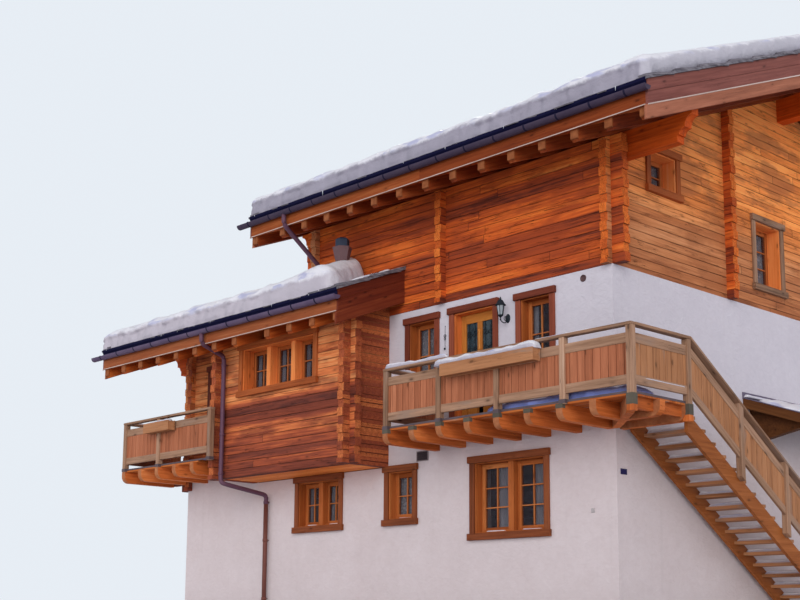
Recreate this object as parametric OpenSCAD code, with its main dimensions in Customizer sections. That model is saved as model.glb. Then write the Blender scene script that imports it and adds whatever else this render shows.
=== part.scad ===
// Alpine chalet: white masonry below, interlocked squared logs above, under two snowy saddle roofs.
// Millimetres, +Z up, ground at z = 0. The origin is the middle of the masonry footprint.
// Every module is drawn from the front right corner, base_h over the ground: x runs left as minus,
// y runs into the house.

/* [Body] */
// Length of the masonry along the front
house_l = 11500; // [10500:50:13000]
// Depth of the masonry from front to rear
house_d = 10600; // [9600:50:12000]
// Thickness of the masonry walls
wall_t = 400; // [300:10:500]
// Depth of the masonry foot below the level that all heights are counted from
base_h = 450; // [360:10:600]
// Height of the masonry under the upper log storey
white_h = 5355; // [5200:5:5600]
// Height of the masonry under the log annex
plinth_h = 2530; // [2480:5:2600]
// Thickness of the ground slab
slab_t = 150; // [100:10:250]
// Height of the first floor's surface
floor_z = 3010; // [2960:5:3060]
// Thickness of the timber floors
floor_t = 250; // [150:10:300]

/* [Logs] */
// Thickness of the squared logs
log_t = 143; // [120:1:180]
// Height of one log course
course_h = 151.5; // [145:0.5:160]
// Full courses in the upper front wall
block_courses = 14; // [12:1:15]
// Full courses in the annex wall under the eave
annex_courses = 20; // [19:1:21]
// Length of the upper log block along the front
block_l = 7353; // [6800:10:8200]
// Depth of the bevel along each log edge
bevel = 8; // [4:1:14]
// Length of the log ends past a wall that runs along the front
long_end = 250; // [160:10:300]
// Length of the log ends in front of a wall
short_end = 126; // [80:2:180]
// Difference between long and short log ends in one stack
end_step = 26; // [10:2:50]

/* [Annex] */
// Distance from the right corner to the bay's right side
bay_x = 5155; // [4900:5:5400]
// Width of the bay
bay_w = 4045; // [3700:5:4300]
// How far the bay stands out over the plinth
bay_out = 957; // [800:1:1100]

/* [Roof] */
// Pitch of both roofs in degrees
pitch = 22; // [18:0.5:26]
// Eave overhang of the main roof
eave = 1100; // [900:10:1250]
// Overhang of the main roof past the right gable
verge_right = 1540; // [1400:10:1700]
// Overhang of the main roof past the left side of the log block
verge_left = 700; // [500:10:900]
// Overhang of the annex roof past the left gable
annex_verge = 1040; // [800:10:1200]
// Overhang of the annex roof past the bay's right side
annex_side = 400; // [300:5:450]
// Eave overhang of the annex roof in front of the bay
bay_eave = 660; // [500:10:800]
// Width of a rafter
rafter_w = 140; // [100:5:180]
// Upright height of a rafter
rafter_h = 214; // [180:2:240]
// Distance between rafters
rafter_pitch = 655; // [600:5:700]
// Upright thickness of the boarded roof deck
deck_h = 400; // [300:10:420]
// Upright thickness of the slates
slate_h = 40; // [30:1:60]
// Thickness of the eave boards and bargeboards
board_t = 40; // [30:1:60]
// Radius of the gutters
gutter_r = 75; // [60:1:90]
// Radius of the downpipes
pipe_r = 45; // [35:1:55]
// Depth of the snow, upright
snow_h = 400; // [250:10:500]

/* [Balconies] */
// How far both balconies stand out
balcony_out = 1260; // [1100:10:1400]
// Length of the front balcony left of the right corner
balcony_l = 3960; // [3800:5:4100]
// Length of the left balcony
left_balcony_l = 2970; // [2800:5:3000]
// Thickness of the balcony boards
plank_t = 60; // [40:5:80]
// Height of the handrail over the deck
rail_h = 1000; // [900:10:1100]
// Side of the square posts
post_w = 105; // [90:1:120]
// How far the posts lap over the edge of the deck
post_lap = 60; // [40:1:80]
// Width of a bracket
bracket_w = 125; // [100:5:150]
// Height of a bracket
bracket_h = 236; // [200:2:260]
// Distance between brackets
bracket_pitch = 635; // [600:5:660]

/* [Stair] */
// Number of risers
risers = 20; // [19:1:21]
// Depth of one step
going = 272; // [250:2:290]
// Thickness of a tread
tread_t = 50; // [40:2:60]
// Thickness of a stringer
stringer_t = 60; // [40:2:80]
// Gap between the gable and the inner stringer
stair_gap = 100; // [60:5:140]

/* [Windows] */
// Width of the casing boards
casing_w = 105; // [80:5:120]
// Thickness of the casing boards
casing_t = 35; // [25:1:50]
// Thickness of the reveal boards
lining_t = 30; // [20:1:40]
// Width of a sash rail
sash_w = 80; // [60:1:90]
// Distance between the panes of two lights
mullion_w = 280; // [240:5:300]
// Thickness of a sash
sash_t = 56; // [40:2:70]
// Thickness of the panes
pane_t = 16; // [10:1:24]
// Depth from a masonry face to the sash
masonry_reveal = 150; // [120:5:200]
// Depth from a log face to the sash
log_reveal = 240; // [200:5:260]

/* [Hidden] */
$fn = 32;

rise = tan(pitch);
ridge_y = house_d / 2;
block_z = white_h;
block_top = block_z + block_courses * course_h;
annex_top = plinth_h + annex_courses * course_h;
block_x = -block_l;
bay_l = -bay_x - bay_w;
main_x0 = block_x - verge_left;
main_x1 = verge_right;
annex_x0 = -house_l - annex_verge;
annex_x1 = -bay_x + annex_side;
annex_eave = bay_out + bay_eave;
cover_h = rafter_h + deck_h + slate_h;
foot_z = -base_h;
tall = 3 * white_h;
far = 3 * house_l;
cut = 50;
stair_rise = (floor_z + base_h) / risers;
stair_slope = stair_rise / going;
stair_y = 230;
stair_x1 = balcony_out - post_w;

wood = "sienna";
warm = "peru";
grey_wood = "tan";
white = "whitesmoke";
metal = "dimgray";

// Openings: [along, sill, width, height, lights], along from the right corner or the wall's start.
front_low = [[-2998, 1213, 1554, 1218, 2], [-5140, 1560, 641, 880, 1], [-7712, 1550, 1207, 880, 2]];
high_z = white_h - 1455;
front_high = [[-4610, high_z, 661, 1210, 1], [-1923, high_z, 642, 1200, 1]];
balcony_door = [-3483, floor_z, 945, white_h - floor_z - 235, 2];
loggia_door = [(bay_l - house_l) / 2 - 400, floor_z, 800, 2060, 1];
bay_light = [bay_l + 840, 4200, 2190, 850, 3];
gable_high = [[1050, white_h + 1525, 750, 640, 1], [4220, white_h + 435, 860, 1200, 1]];
gable_rear = [[1050, white_h + 1525, 750, 640, 1], [3600, white_h + 435, 860, 1200, 1]];
rear_low = [[1800, 1213, 1554, 1218, 2], [5400, 1560, 1207, 880, 2], [8900, 1560, 641, 880, 1]];
rear_high = [[1900, high_z, 642, 1200, 1], [4100, high_z, 1207, 1200, 2]];
rear_top = [[1500, white_h + 635, 860, 1000, 1], [4800, white_h + 635, 860, 1000, 1]];
rear_annex = [[8900, 4000, 860, 1000, 1]];
left_low = [[2400, 1560, 641, 880, 1], [7400, 1560, 641, 880, 1]];
left_high = [[2300, 4000, 860, 1000, 1], [7400, 4000, 860, 1000, 1]];
side_door = [5850, slab_t - base_h, 1000, 2080, 1];

// Frames of reference.
module house() translate([house_l / 2, -house_d / 2, base_h]) children();
module on_right() rotate([0, 0, 90]) children();
module on_rear() translate([0, house_d, 0]) rotate([0, 0, 180]) children();
module on_left() translate([-house_l, house_d, 0]) rotate([0, 0, -90]) children();
module rear_half() translate([0, house_d, 0]) mirror([0, 1, 0]) children();
module box(a, b) translate(a) cube(b - a);

// Upright extrusion along x of an outline drawn as [y, z].
module along_x(x0, x1) translate([x0, 0, 0]) rotate([90, 0, 90]) linear_extrude(x1 - x0) children();
// Upright extrusion along y of an outline drawn as [x, z].
module along_y(y0, y1) translate([0, y1, 0]) rotate([90, 0, 0]) linear_extrude(y1 - y0) children();

// Walls.
module holes(list, wall) for (o = list)
    box([o[0], -cut, o[1]], [o[0] + o[2], wall + cut, o[1] + o[3]]);

module ground_slab() house() color("silver")
    box([-house_l + wall_t, wall_t, foot_z], [-wall_t, house_d - wall_t, foot_z + slab_t]);

module front_wall() house() color(white) difference() {
    union() {
        box([-house_l, 0, foot_z], [0, wall_t, plinth_h]);
        box([-bay_x, 0, foot_z], [0, wall_t, white_h]);
        raised_foot();
    }
    holes(front_low, wall_t);
    holes(front_high, wall_t);
    holes([balcony_door], wall_t);
}

// Masonry that stands higher under the logs left of the bay.
foot_courses = 1.5;
module raised_foot() box([-house_l + log_t, 0, plinth_h], [bay_l, log_t, plinth_h + foot_courses * course_h]);

module rear_wall() house() color(white) difference() {
    union() {
        box([-house_l, house_d - wall_t, foot_z], [0, house_d, plinth_h]);
        box([block_x, house_d - wall_t, foot_z], [0, house_d, white_h]);
    }
    on_rear() holes(rear_low, wall_t);
    on_rear() holes(rear_high, wall_t);
}

module right_gable_wall() house() color(white) difference() {
    box([-wall_t, wall_t, foot_z], [0, house_d - wall_t, white_h]);
    on_right() holes([side_door], wall_t);
}

module left_wall() house() color(white) difference() {
    box([-house_l, wall_t, foot_z], [-house_l + wall_t, house_d - wall_t, plinth_h]);
    on_left() holes(left_low, wall_t);
}

// The first floor runs out into the bay; the upper floor also carries the log block's left side.
module floors() house() color(warm) {
    translate([0, 0, floor_z - floor_t]) linear_extrude(floor_t) {
        translate([-house_l + wall_t, wall_t]) square([house_l - 2 * wall_t, house_d - 2 * wall_t]);
        translate([-house_l + log_t, log_t])
            square([house_l - block_l - 2 * log_t, house_d - 2 * log_t]);
        translate([bay_l + log_t, log_t - bay_out])
            square([bay_w - 2 * log_t, bay_out - log_t + wall_t]);
    }
    box([block_x, wall_t, white_h - floor_t], [-wall_t, house_d - wall_t, white_h]);
    box([block_x, 0, white_h - floor_t], [-bay_x, wall_t, white_h]);
}

// Logs.
// Section of a stack of n courses: z up, thickness along the first axis, bevelled at each joint.
module course_section(n) polygon(concat(
    [for (k = [0:n - 1], p = [[bevel, 0], [0, bevel], [0, course_h - bevel]]) p + [0, k * course_h]],
    [[bevel, n * course_h], [log_t - bevel, n * course_h]],
    [for (k = [n - 1:-1:0], p = [[log_t, course_h - bevel], [log_t, bevel], [log_t - bevel, 0]])
        p + [0, k * course_h]]));

// A stack that runs along x with its outer face on y = 0.
module stack_x(x0, x1, z0, n) along_x(x0, x1) translate([0, z0]) course_section(n);
// A stack that runs along y with one face on x = 0.
module stack_y(y0, y1, z0, n) along_y(y0, y1) translate([0, z0]) course_section(n);

// Half laps in a crossing: the logs along x keep the middle of each course, those along y the rest.
module laps_x(z0, n) for (k = [0:n - 1])
    translate([0, 0, z0 + (k + 0.25) * course_h]) cube([log_t, log_t, course_h / 2]);
module laps_y(z0, n) for (k = [0:n])
    translate([0, 0, z0 + (k - 0.25) * course_h]) cube([log_t, log_t, course_h / 2]);

// Log ends past a crossing, every second one shorter.
function end_lo(len, k) = len < 0 ? len + (k % 2) * end_step : 0;
function end_hi(len, k) = len > 0 ? len - (k % 2) * end_step : 0;
module ends_x(x0, len, z0, n) for (k = [0:n - 1])
    stack_x(x0 + end_lo(len, k), x0 + end_hi(len, k), z0 + k * course_h, 1);
module ends_y(y0, len, z0, n) for (k = [0:n])
    stack_y(y0 + end_lo(len, k), y0 + end_hi(len, k), z0 + (k - 0.5) * course_h, 1);

// Space under a roof's rafters; z is the height of their underside over the front wall's face.
module under_roof(z) along_x(-far, far) polygon([[-far / 4, 0], [-far / 4, z - rise * far / 4],
    [ridge_y, z + rise * ridge_y], [house_d + far / 4, z - rise * far / 4], [house_d + far / 4, 0]]);
// Space that the annex roof takes beside the log block.
module annex_space() along_x(-far, annex_x1) polygon([[-far / 4, 0],
    [-far / 4, annex_top + cover_h - rise * far / 4], [ridge_y, annex_top + cover_h + rise * ridge_y],
    [house_d + far / 4, annex_top + cover_h - rise * far / 4], [house_d + far / 4, 0]]);

// A wall of the block along the front: the stack, its laps and both log ends.
module block_front_stack() {
    stack_x(block_x + log_t, -log_t, block_z, block_courses + 1);
    translate([block_x, 0, 0]) laps_x(block_z, block_courses);
    translate([-log_t, 0, 0]) laps_x(block_z, block_courses);
    ends_x(0, long_end, block_z, block_courses);
    difference() {
        ends_x(block_x, -long_end, block_z, block_courses);
        annex_space();
    }
}

module front_logs() house() color(wood) intersection() {
    block_front_stack();
    under_roof(block_top);
}

module rear_logs() house() color(wood) intersection() {
    difference() {
        rear_half() block_front_stack();
        on_rear() holes(rear_top, log_t);
    }
    under_roof(block_top);
}

gable_courses = ceil((block_top + rise * ridge_y - block_z) / course_h) + 1;
module block_side_stack() {
    stack_y(log_t, house_d - log_t, block_z - course_h / 2, gable_courses);
    laps_y(block_z, block_courses);
    translate([0, house_d - log_t, 0]) laps_y(block_z, block_courses);
}

module right_gable_logs() house() color(wood) intersection() {
    difference() {
        union() {
            translate([-log_t, 0, 0]) block_side_stack();
            translate([-log_t, 0, 0]) ends_y(0, -short_end, block_z, block_courses);
            translate([-log_t, 0, 0]) rear_half() ends_y(0, -short_end, block_z, block_courses);
        }
        on_right() holes(gable_high, log_t);
        rear_half() on_right() holes(gable_rear, log_t);
        purlin_space();
    }
    under_roof(block_top);
    box([-far, -far, block_z], [far, far, tall]);
}

module left_gable_logs() house() color(wood) intersection() {
    difference() {
        translate([block_x, 0, 0]) union() {
            block_side_stack();
            ends_y(0, -short_end, block_z, block_courses);
            rear_half() ends_y(0, -short_end, block_z, block_courses);
        }
        intersection() {
            annex_space();
            union() {
                box([-far, -far, 0], [far, 0, tall]);
                box([-far, house_d, 0], [far, far, tall]);
            }
        }
        purlin_space();
    }
    under_roof(block_top);
    box([-far, -far, block_z], [far, far, tall]);
}

partition_x = 3836;
partition_y = 3258;
partition_end = long_end - 3 * end_step;
module partition_ends() house() color(wood) intersection() {
    union() {
        translate([-partition_x, 0, 0]) ends_y(0, -short_end - end_step, block_z, block_courses);
        translate([0, partition_y, 0]) ends_x(0, partition_end, block_z - course_h, gable_courses);
        rear_half() translate([0, partition_y, 0])
            ends_x(0, partition_end, block_z - course_h, gable_courses);
    }
    under_roof(block_top);
    box([-far, -far, block_z], [far, far, tall]);
}

// The bay: a front stack on the outer line and two side walls back to the house.
bay_courses = annex_courses - floor(rise * bay_out / course_h);
module bay_logs() house() color(wood) intersection() {
    union() {
        translate([0, -bay_out, 0]) difference() {
            union() {
                stack_x(bay_l + log_t, -bay_x - log_t, plinth_h, bay_courses);
                translate([bay_l, 0, 0]) laps_x(plinth_h, bay_courses);
                translate([-bay_x - log_t, 0, 0]) laps_x(plinth_h, bay_courses);
                ends_x(bay_l, -long_end * 0.7, plinth_h, bay_courses);
                ends_x(-bay_x, long_end * 0.6, plinth_h, bay_courses);
            }
            holes([bay_light], log_t);
        }
        for (x = [bay_l, -bay_x - log_t]) translate([x, -bay_out, 0]) {
            stack_y(log_t, bay_out, plinth_h - course_h / 2, annex_courses + 1);
            laps_y(plinth_h, bay_courses);
            ends_y(0, -short_end * 1.4, plinth_h, bay_courses);
        }
    }
    under_roof(annex_top);
    box([-far, -far, plinth_h], [far, far, tall]);
}

sill_logs = 2;
module annex_front_logs() house() color(wood) intersection() {
    difference() {
        union() {
            stack_x(-house_l + log_t, bay_l, plinth_h, annex_courses + 1);
            translate([-house_l, 0, 0]) laps_x(plinth_h, annex_courses);
            ends_x(-house_l, -long_end, plinth_h, annex_courses);
            // Two low logs run on to carry the balcony's end.
            stack_x(left_x0, -house_l, plinth_h + course_h, sill_logs);
        }
        holes([loggia_door], log_t);
        raised_foot();
    }
    under_roof(annex_top);
}

annex_gable_courses = ceil((annex_top + rise * ridge_y - plinth_h) / course_h) + 1;
module annex_gable_logs() house() color(wood) intersection() {
    difference() {
        translate([-house_l, 0, 0]) union() {
            stack_y(log_t, house_d - log_t, plinth_h - course_h / 2, annex_gable_courses);
            laps_y(plinth_h, annex_courses);
            translate([0, house_d - log_t, 0]) laps_y(plinth_h, annex_courses);
            ends_y(0, -short_end, plinth_h, annex_courses);
            rear_half() ends_y(0, -short_end, plinth_h, annex_courses);
        }
        on_left() holes(left_high, log_t);
        purlin_space();
    }
    under_roof(annex_top);
    box([-far, -far, plinth_h], [far, far, tall]);
}

module annex_rear_logs() house() color(wood) intersection() {
    difference() {
        rear_half() union() {
            stack_x(-house_l + log_t, block_x, plinth_h, annex_courses + 1);
            translate([-house_l, 0, 0]) laps_x(plinth_h, annex_courses);
            ends_x(-house_l, -long_end, plinth_h, annex_courses);
        }
        on_rear() holes(rear_annex, log_t);
    }
    under_roof(annex_top);
}

module bay_soffit() house() color(warm)
    box([bay_l + log_t, log_t - bay_out, plinth_h + 12], [-bay_x - log_t, 0, plinth_h + 48]);

// Purlins with carved ends.
purlin_w = 180;
ridge_w = 240;
purlin_h = 440;
purlin_y = log_t + 17;
purlin_back = 90;
carve_r = 250;
bevel_room = 100;

// Ogee end: [along, height] of a beam from 0 to len, its lower corner cut by two quarter rounds.
module carved(len, h, r) difference() {
    square([len, h]);
    translate([len - 1.1 * r, -1]) square([1.1 * r + 1, 0.45 * r]);
    translate([len - 0.55 * r, 0.42 * r]) circle(0.42 * r);
    translate([len + 0.1 * r, 0.95 * r]) circle(0.62 * r);
}

// One purlin from x0 to x1 with its front face at y, its top cut to the roof's pitch.
module purlin(x0, x1, y, w, z) intersection() {
    translate([0, y, z + rise * y - purlin_h]) along_y(0, w) {
        carved(x1, purlin_h + bevel_room, carve_r);
        mirror([1, 0]) carved(-x0, purlin_h + bevel_room, carve_r);
    }
    under_roof(z);
}
module purlin_set(x0, x1, z) {
    purlin(x0, x1, purlin_y, purlin_w, z);
    rear_half() purlin(x0, x1, purlin_y, purlin_w, z);
    purlin(x0, x1, ridge_y - ridge_w / 2, ridge_w, z);
}
module purlins() house() color(wood) {
    purlin_set(main_x0 + purlin_back, main_x1 - purlin_back, block_top);
    intersection() {
        translate([block_x, 0, 0]) purlin_set(annex_x0 + purlin_back - block_x, 1, annex_top);
        box([-far, -far, 0], [block_x, far, tall]);
    }
}

module purlin_space() {
    for (m = [0, 1]) translate([0, m * house_d, 0]) mirror([0, m, 0])
        for (z = [block_top, annex_top]) {
            box([z == annex_top ? -far : block_x - far, purlin_y, z + rise * purlin_y - purlin_h],
                [z == annex_top ? block_x : far, purlin_y + purlin_w, z + 2 * purlin_h]);
            box([z == annex_top ? -far : block_x - far, ridge_y - ridge_w / 2,
                z + rise * (ridge_y - ridge_w / 2) - purlin_h],
                [z == annex_top ? block_x : far, ridge_y, z + rise * ridge_y + purlin_h]);
        }
}

// Roofs.
// A band that follows the front slope, from lo to hi over the rafters' underside.
module band(z, y0, y1, lo, hi) polygon([[y0, z + rise * y0 + lo], [y1, z + rise * y1 + lo],
    [y1, z + rise * y1 + hi], [y0, z + rise * y0 + hi]]);
// The same over both slopes, out to the two eaves.
module saddle(z, front, back, lo, hi) polygon([slope_point(z, -front, lo),
    slope_point(z, ridge_y, lo), slope_point(z, house_d + back, lo), slope_point(z, house_d + back, hi),
    slope_point(z, ridge_y, hi), slope_point(z, -front, hi)]);
// A point over the line of the rafters' underside, on either slope.
function slope_point(z, y, up) = [y, z + rise * min(y, house_d - y) + up];

// Rafter pairs, their plumb tails with the lower corners rounded away.
module rafter_outline(z, front, back) difference() {
    saddle(z, front, back, 0, rafter_h);
    translate([-front, z - rise * front]) circle(rafter_h * 0.3);
    translate([house_d + back, z - rise * back]) circle(rafter_h * 0.3);
}

block_rafters = floor((main_x1 - main_x0 - 2 * board_t - rafter_w) / rafter_pitch);
rafter_end = eave - board_t;
annex_end = annex_eave - board_t;
module main_rafters() house() color(wood) {
    for (k = [0:block_rafters]) {
        x = k < block_rafters ? main_x1 - board_t - rafter_w - k * rafter_pitch : main_x0 + board_t;
        along_x(x, x + rafter_w) rafter_outline(block_top, rafter_end, rafter_end);
    }
}

annex_count = floor((block_x - annex_x0 - board_t - rafter_w) / rafter_pitch) + 1;
bay_count = ceil((annex_x1 - block_x) / rafter_pitch);
module annex_rafters() house() color(wood) {
    for (k = [0:annex_count - 1]) {
        x = annex_x0 + board_t + k * rafter_pitch;
        along_x(x, x + rafter_w) rafter_outline(annex_top, annex_end, rafter_end);
    }
    for (k = [0:bay_count - 1]) {
        x = annex_x1 - board_t - rafter_w - k * rafter_pitch;
        along_x(x, x + rafter_w) intersection() {
            rafter_outline(annex_top, annex_end, rafter_end);
            translate([-far, 0]) square([far, tall]);
        }
    }
}

// The boarded deck over the rafters, and the slates over it.
module main_roof() house() color(warm) along_x(main_x0 + board_t, main_x1 - board_t)
    saddle(block_top, rafter_end, rafter_end, rafter_h, rafter_h + deck_h);
module annex_roof() house() color(warm) {
    along_x(annex_x0 + board_t, block_x)
        saddle(annex_top, annex_end, rafter_end, rafter_h, rafter_h + deck_h);
    along_x(block_x, annex_x1 - board_t) band(annex_top, -annex_end, 0, rafter_h, rafter_h + deck_h);
}

slate_out = 30;
module main_slates() house() color(metal) along_x(main_x0 - slate_out, main_x1 + slate_out)
    saddle(block_top, eave + slate_out, eave + slate_out, rafter_h + deck_h, cover_h);
module annex_slates() house() color(metal) {
    along_x(annex_x0 - slate_out, block_x)
        saddle(annex_top, annex_eave + slate_out, eave + slate_out, rafter_h + deck_h, cover_h);
    along_x(block_x, annex_x1 + slate_out)
        band(annex_top, -annex_eave - slate_out, 0, rafter_h + deck_h, cover_h);
}

// Snow section: a band with a rounded, slightly overhanging lower edge.
module snow_section(z, y0, y1) {
    band(z, y0 + snow_h / 2, y1, cover_h, cover_h + snow_h);
    intersection() {
        translate([y0 + snow_h / 2, z + rise * (y0 + snow_h / 2) + cover_h + snow_h / 2])
            circle(snow_h / 2 - 4);
        band(z, y0 - snow_h, y1, cover_h, cover_h + snow_h);
    }
}
module main_snow() house() color("white") {
    along_x(main_x0, main_x1 - snow_back) snow_section(block_top, -eave, ridge_y);
    rear_half() along_x(main_x0, main_x1 - snow_back) snow_section(block_top, -eave, ridge_y);
}
// The snow stops short of the annex roof's right verge and keeps clear of the log ends.
bare_slates = 900;
snow_gap = 40;
snow_back = 60;
module annex_snow() house() color("white") difference() {
    union() {
        along_x(annex_x0, annex_x1 - bare_slates) intersection() {
            snow_section(annex_top, -annex_eave, ridge_y);
            translate([-far / 2, 0]) square([far / 2 - short_end - snow_gap, tall]);
        }
        along_x(annex_x0, block_x - long_end - snow_gap) intersection() {
            snow_section(annex_top, -annex_eave, ridge_y);
            translate([-short_end - snow_gap - 1, 0]) square([far, tall]);
        }
        rear_half() along_x(annex_x0, block_x - long_end - snow_gap)
            snow_section(annex_top, -eave, ridge_y);
    }
    flue_hole();
}

// Eave board and the two bargeboards of a verge.
eave_h = 300;
board_past = 40;
board_back = 60;
board_drop = 10;
module verge_boards(z, x, front, back, past) {
    f = -front - past;
    b = house_d + back + past;
    along_x(x, x + board_t) polygon([slope_point(z, f, -board_drop), slope_point(z, ridge_y, -board_drop),
        slope_point(z, b, -board_drop), slope_point(z, b, rafter_h),
        slope_point(z, house_d + back, rafter_h), slope_point(z, house_d + back, rafter_h + deck_h),
        slope_point(z, ridge_y, rafter_h + deck_h), slope_point(z, -front, rafter_h + deck_h),
        slope_point(z, -front, rafter_h), slope_point(z, f, rafter_h)]);
}
// The board across the tails of a front eave from x0 to x1.
module eave_board(x0, x1, z, out) along_x(x0, x1)
    translate([-out, z - rise * out + rafter_h]) square([board_t, eave_h]);
module main_eave_boards() house() color(wood) {
    for (m = [0, 1]) translate([0, m * house_d, 0]) mirror([0, m, 0])
        eave_board(main_x0 + board_t, main_x1 - board_t, block_top, eave);
    verge_boards(block_top, main_x1 - board_t, eave, eave, board_past);
    verge_boards(block_top, main_x0, eave, eave, -board_back);
}
module annex_eave_boards() house() color(wood) {
    eave_board(annex_x0 + board_t, annex_x1 - board_t, annex_top, annex_eave);
    along_x(annex_x1 - board_t, annex_x1) {
        band(annex_top, -annex_eave, 0, rafter_h, rafter_h + deck_h);
        band(annex_top, -annex_eave - board_past, 0, -board_drop, rafter_h);
    }
    verge_boards(annex_top, annex_x0, annex_eave, eave, -board_back);
    rear_half() eave_board(annex_x0 + board_t, block_x, annex_top, eave);
}

// Half round gutter with its back edge against the eave board.
gutter_t = 6;
module gutter_section() difference() {
    circle(gutter_r);
    circle(gutter_r - gutter_t);
    translate([-gutter_r - 1, 0]) square([2 * gutter_r + 2, gutter_r + 1]);
}
module gutter(x0, x1, y, z) {
    translate([0, y - gutter_r, z]) along_x(x0, x1) gutter_section();
    for (x = [x0, x1 - gutter_t]) translate([0, y - gutter_r, z]) along_x(x, x + gutter_t) difference() {
        circle(gutter_r - gutter_t / 2);
        translate([-gutter_r - 1, 0]) square([2 * gutter_r + 2, gutter_r + 1]);
    }
}
gutter_up = rafter_h + eave_h - 30;
main_gutter_z = block_top - rise * eave + gutter_up;
annex_gutter_z = annex_top - rise * annex_eave + gutter_up;
rear_gutter_z = annex_top - rise * eave + gutter_up;
gutter_left = 250;
gutter_right = 60;
module gutters() house() color(metal) {
    gutter(main_x0 - gutter_left, main_x1 + gutter_right, -eave, main_gutter_z);
    rear_half() gutter(main_x0 - gutter_left, main_x1 + gutter_right, -eave, main_gutter_z);
    gutter(annex_x0 - gutter_left, annex_x1 + gutter_right, -annex_eave, annex_gutter_z);
    rear_half() gutter(annex_x0 - gutter_left, main_x0 - gutter_left - 10, -eave, rear_gutter_z);
}

// A pipe through a list of points, with ball elbows.
module pipe(pts, r) {
    for (i = [0:len(pts) - 2]) {
        d = pts[i + 1] - pts[i];
        l = norm(d);
        translate(pts[i]) rotate([0, acos(d[2] / l), atan2(d[1], d[0])]) cylinder(r = r, h = l);
    }
    for (i = [1:len(pts) - 2]) translate(pts[i]) sphere(r = r * 1.02);
}
// A round bar along x that the gutter's outer face follows.
module gutter_body(y, z) translate([-far, y - gutter_r, z]) rotate([0, 90, 0])
    cylinder(r = gutter_r, h = 2 * far);
// Where each pipe leaves its gutter and where it runs down, from the bay's or the block's left side.
pipe_gap = pipe_r + 45;
bay_outlet_x = bay_l + 440;
bay_pipe_x = bay_l + 320;
low_pipe_x = bay_l + 555;
block_outlet_x = block_x + 460;
block_pipe_x = block_x + log_t + pipe_r + 75;
drop_h = 260;
back_fall = 600;
module downpipes() house() color("saddlebrown") {
    // The bay's pipe goes back to the bay's wall, down, and back again to the masonry.
    difference() {
        pipe([[bay_outlet_x, -annex_eave - gutter_r, annex_gutter_z - gutter_r * 0.6],
            [bay_outlet_x, -annex_eave - gutter_r, annex_gutter_z - drop_h],
            [bay_pipe_x, -bay_out - pipe_gap, annex_gutter_z - drop_h - 160],
            [bay_pipe_x, -bay_out - pipe_gap, plinth_h - 60],
            [bay_pipe_x + 60, -bay_out - 60, plinth_h - 110],
            [low_pipe_x, -pipe_gap, plinth_h - 280],
            [low_pipe_x, -pipe_gap, foot_z]], pipe_r);
        gutter_body(-annex_eave, annex_gutter_z);
    }
    difference() {
        pipe([[block_outlet_x, -eave - gutter_r, main_gutter_z - gutter_r * 0.6],
            [block_outlet_x, -eave - gutter_r, main_gutter_z - drop_h],
            [block_pipe_x, -pipe_gap, main_gutter_z - drop_h - back_fall],
            [block_pipe_x, -pipe_gap, annex_top + cover_h]], pipe_r);
        gutter_body(-eave, main_gutter_z);
    }
}

// Metal flue with a six-sided cowl, on the slates of the bay's roof.
flue_r = 120;
flue_x = -5950;
flue_y = -500;
flue_h = 620;
flare_r = 187;
flare_h = 240;
rim_band = 30;
cap_r = 135;
cap_h = 150;
module above_slates() along_x(-far, far) band(annex_top, -far / 4, ridge_y, cover_h, far / 2);
module flue() house() color(metal) intersection() {
    translate([flue_x, flue_y, annex_top + cover_h + rise * flue_y - 100]) {
        cylinder(r = flue_r, h = flue_h);
        translate([0, 0, flue_h - 60]) {
            cylinder(r1 = flue_r, r2 = flare_r, h = flare_h, $fn = 6);
            translate([0, 0, flare_h]) cylinder(r = flare_r, h = rim_band, $fn = 6);
            translate([0, 0, flare_h + rim_band]) cylinder(r = cap_r, h = cap_h, $fn = 6);
            translate([0, 0, flare_h + rim_band + cap_h])
                cylinder(r1 = cap_r, r2 = 0.7 * cap_r, h = rim_band, $fn = 6);
        }
    }
    above_slates();
}
module flue_hole() translate([flue_x, flue_y, 0]) cylinder(r = flue_r, h = tall);

// Balconies.
deck_z = floor_z - plank_t;
deck_out = balcony_out - post_lap;
left_x0 = bay_l - left_balcony_l;
left_drop = 60;
module balcony_decks() house() color(grey_wood) {
    translate([0, 0, deck_z]) linear_extrude(plank_t) {
        translate([post_lap - balcony_l, -deck_out]) square([balcony_l - post_lap, deck_out]);
        translate([0, -deck_out]) square([deck_out, deck_out + stair_y]);
    }
    box([left_x0 + post_lap, -deck_out, deck_z - left_drop],
        [bay_l - long_end, 0, floor_z - left_drop]);
}

// Bracket with a quarter round under its free end, [along, height] from the wall.
nose = bracket_h * 0.6;
module bracket_outline(len) difference() {
    translate([0, deck_z - bracket_h]) square([len, bracket_h]);
    difference() {
        translate([len - nose, deck_z - bracket_h - 1]) square([nose + 1, nose + 1]);
        translate([len - nose, deck_z - bracket_h + nose]) circle(nose);
    }
}
// A bracket that stands out from the front wall, its left side at x.
module bracket_out(x, len) translate([x, 0, 0]) rotate([0, 0, -90]) along_y(0, bracket_w)
    bracket_outline(len);

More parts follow.
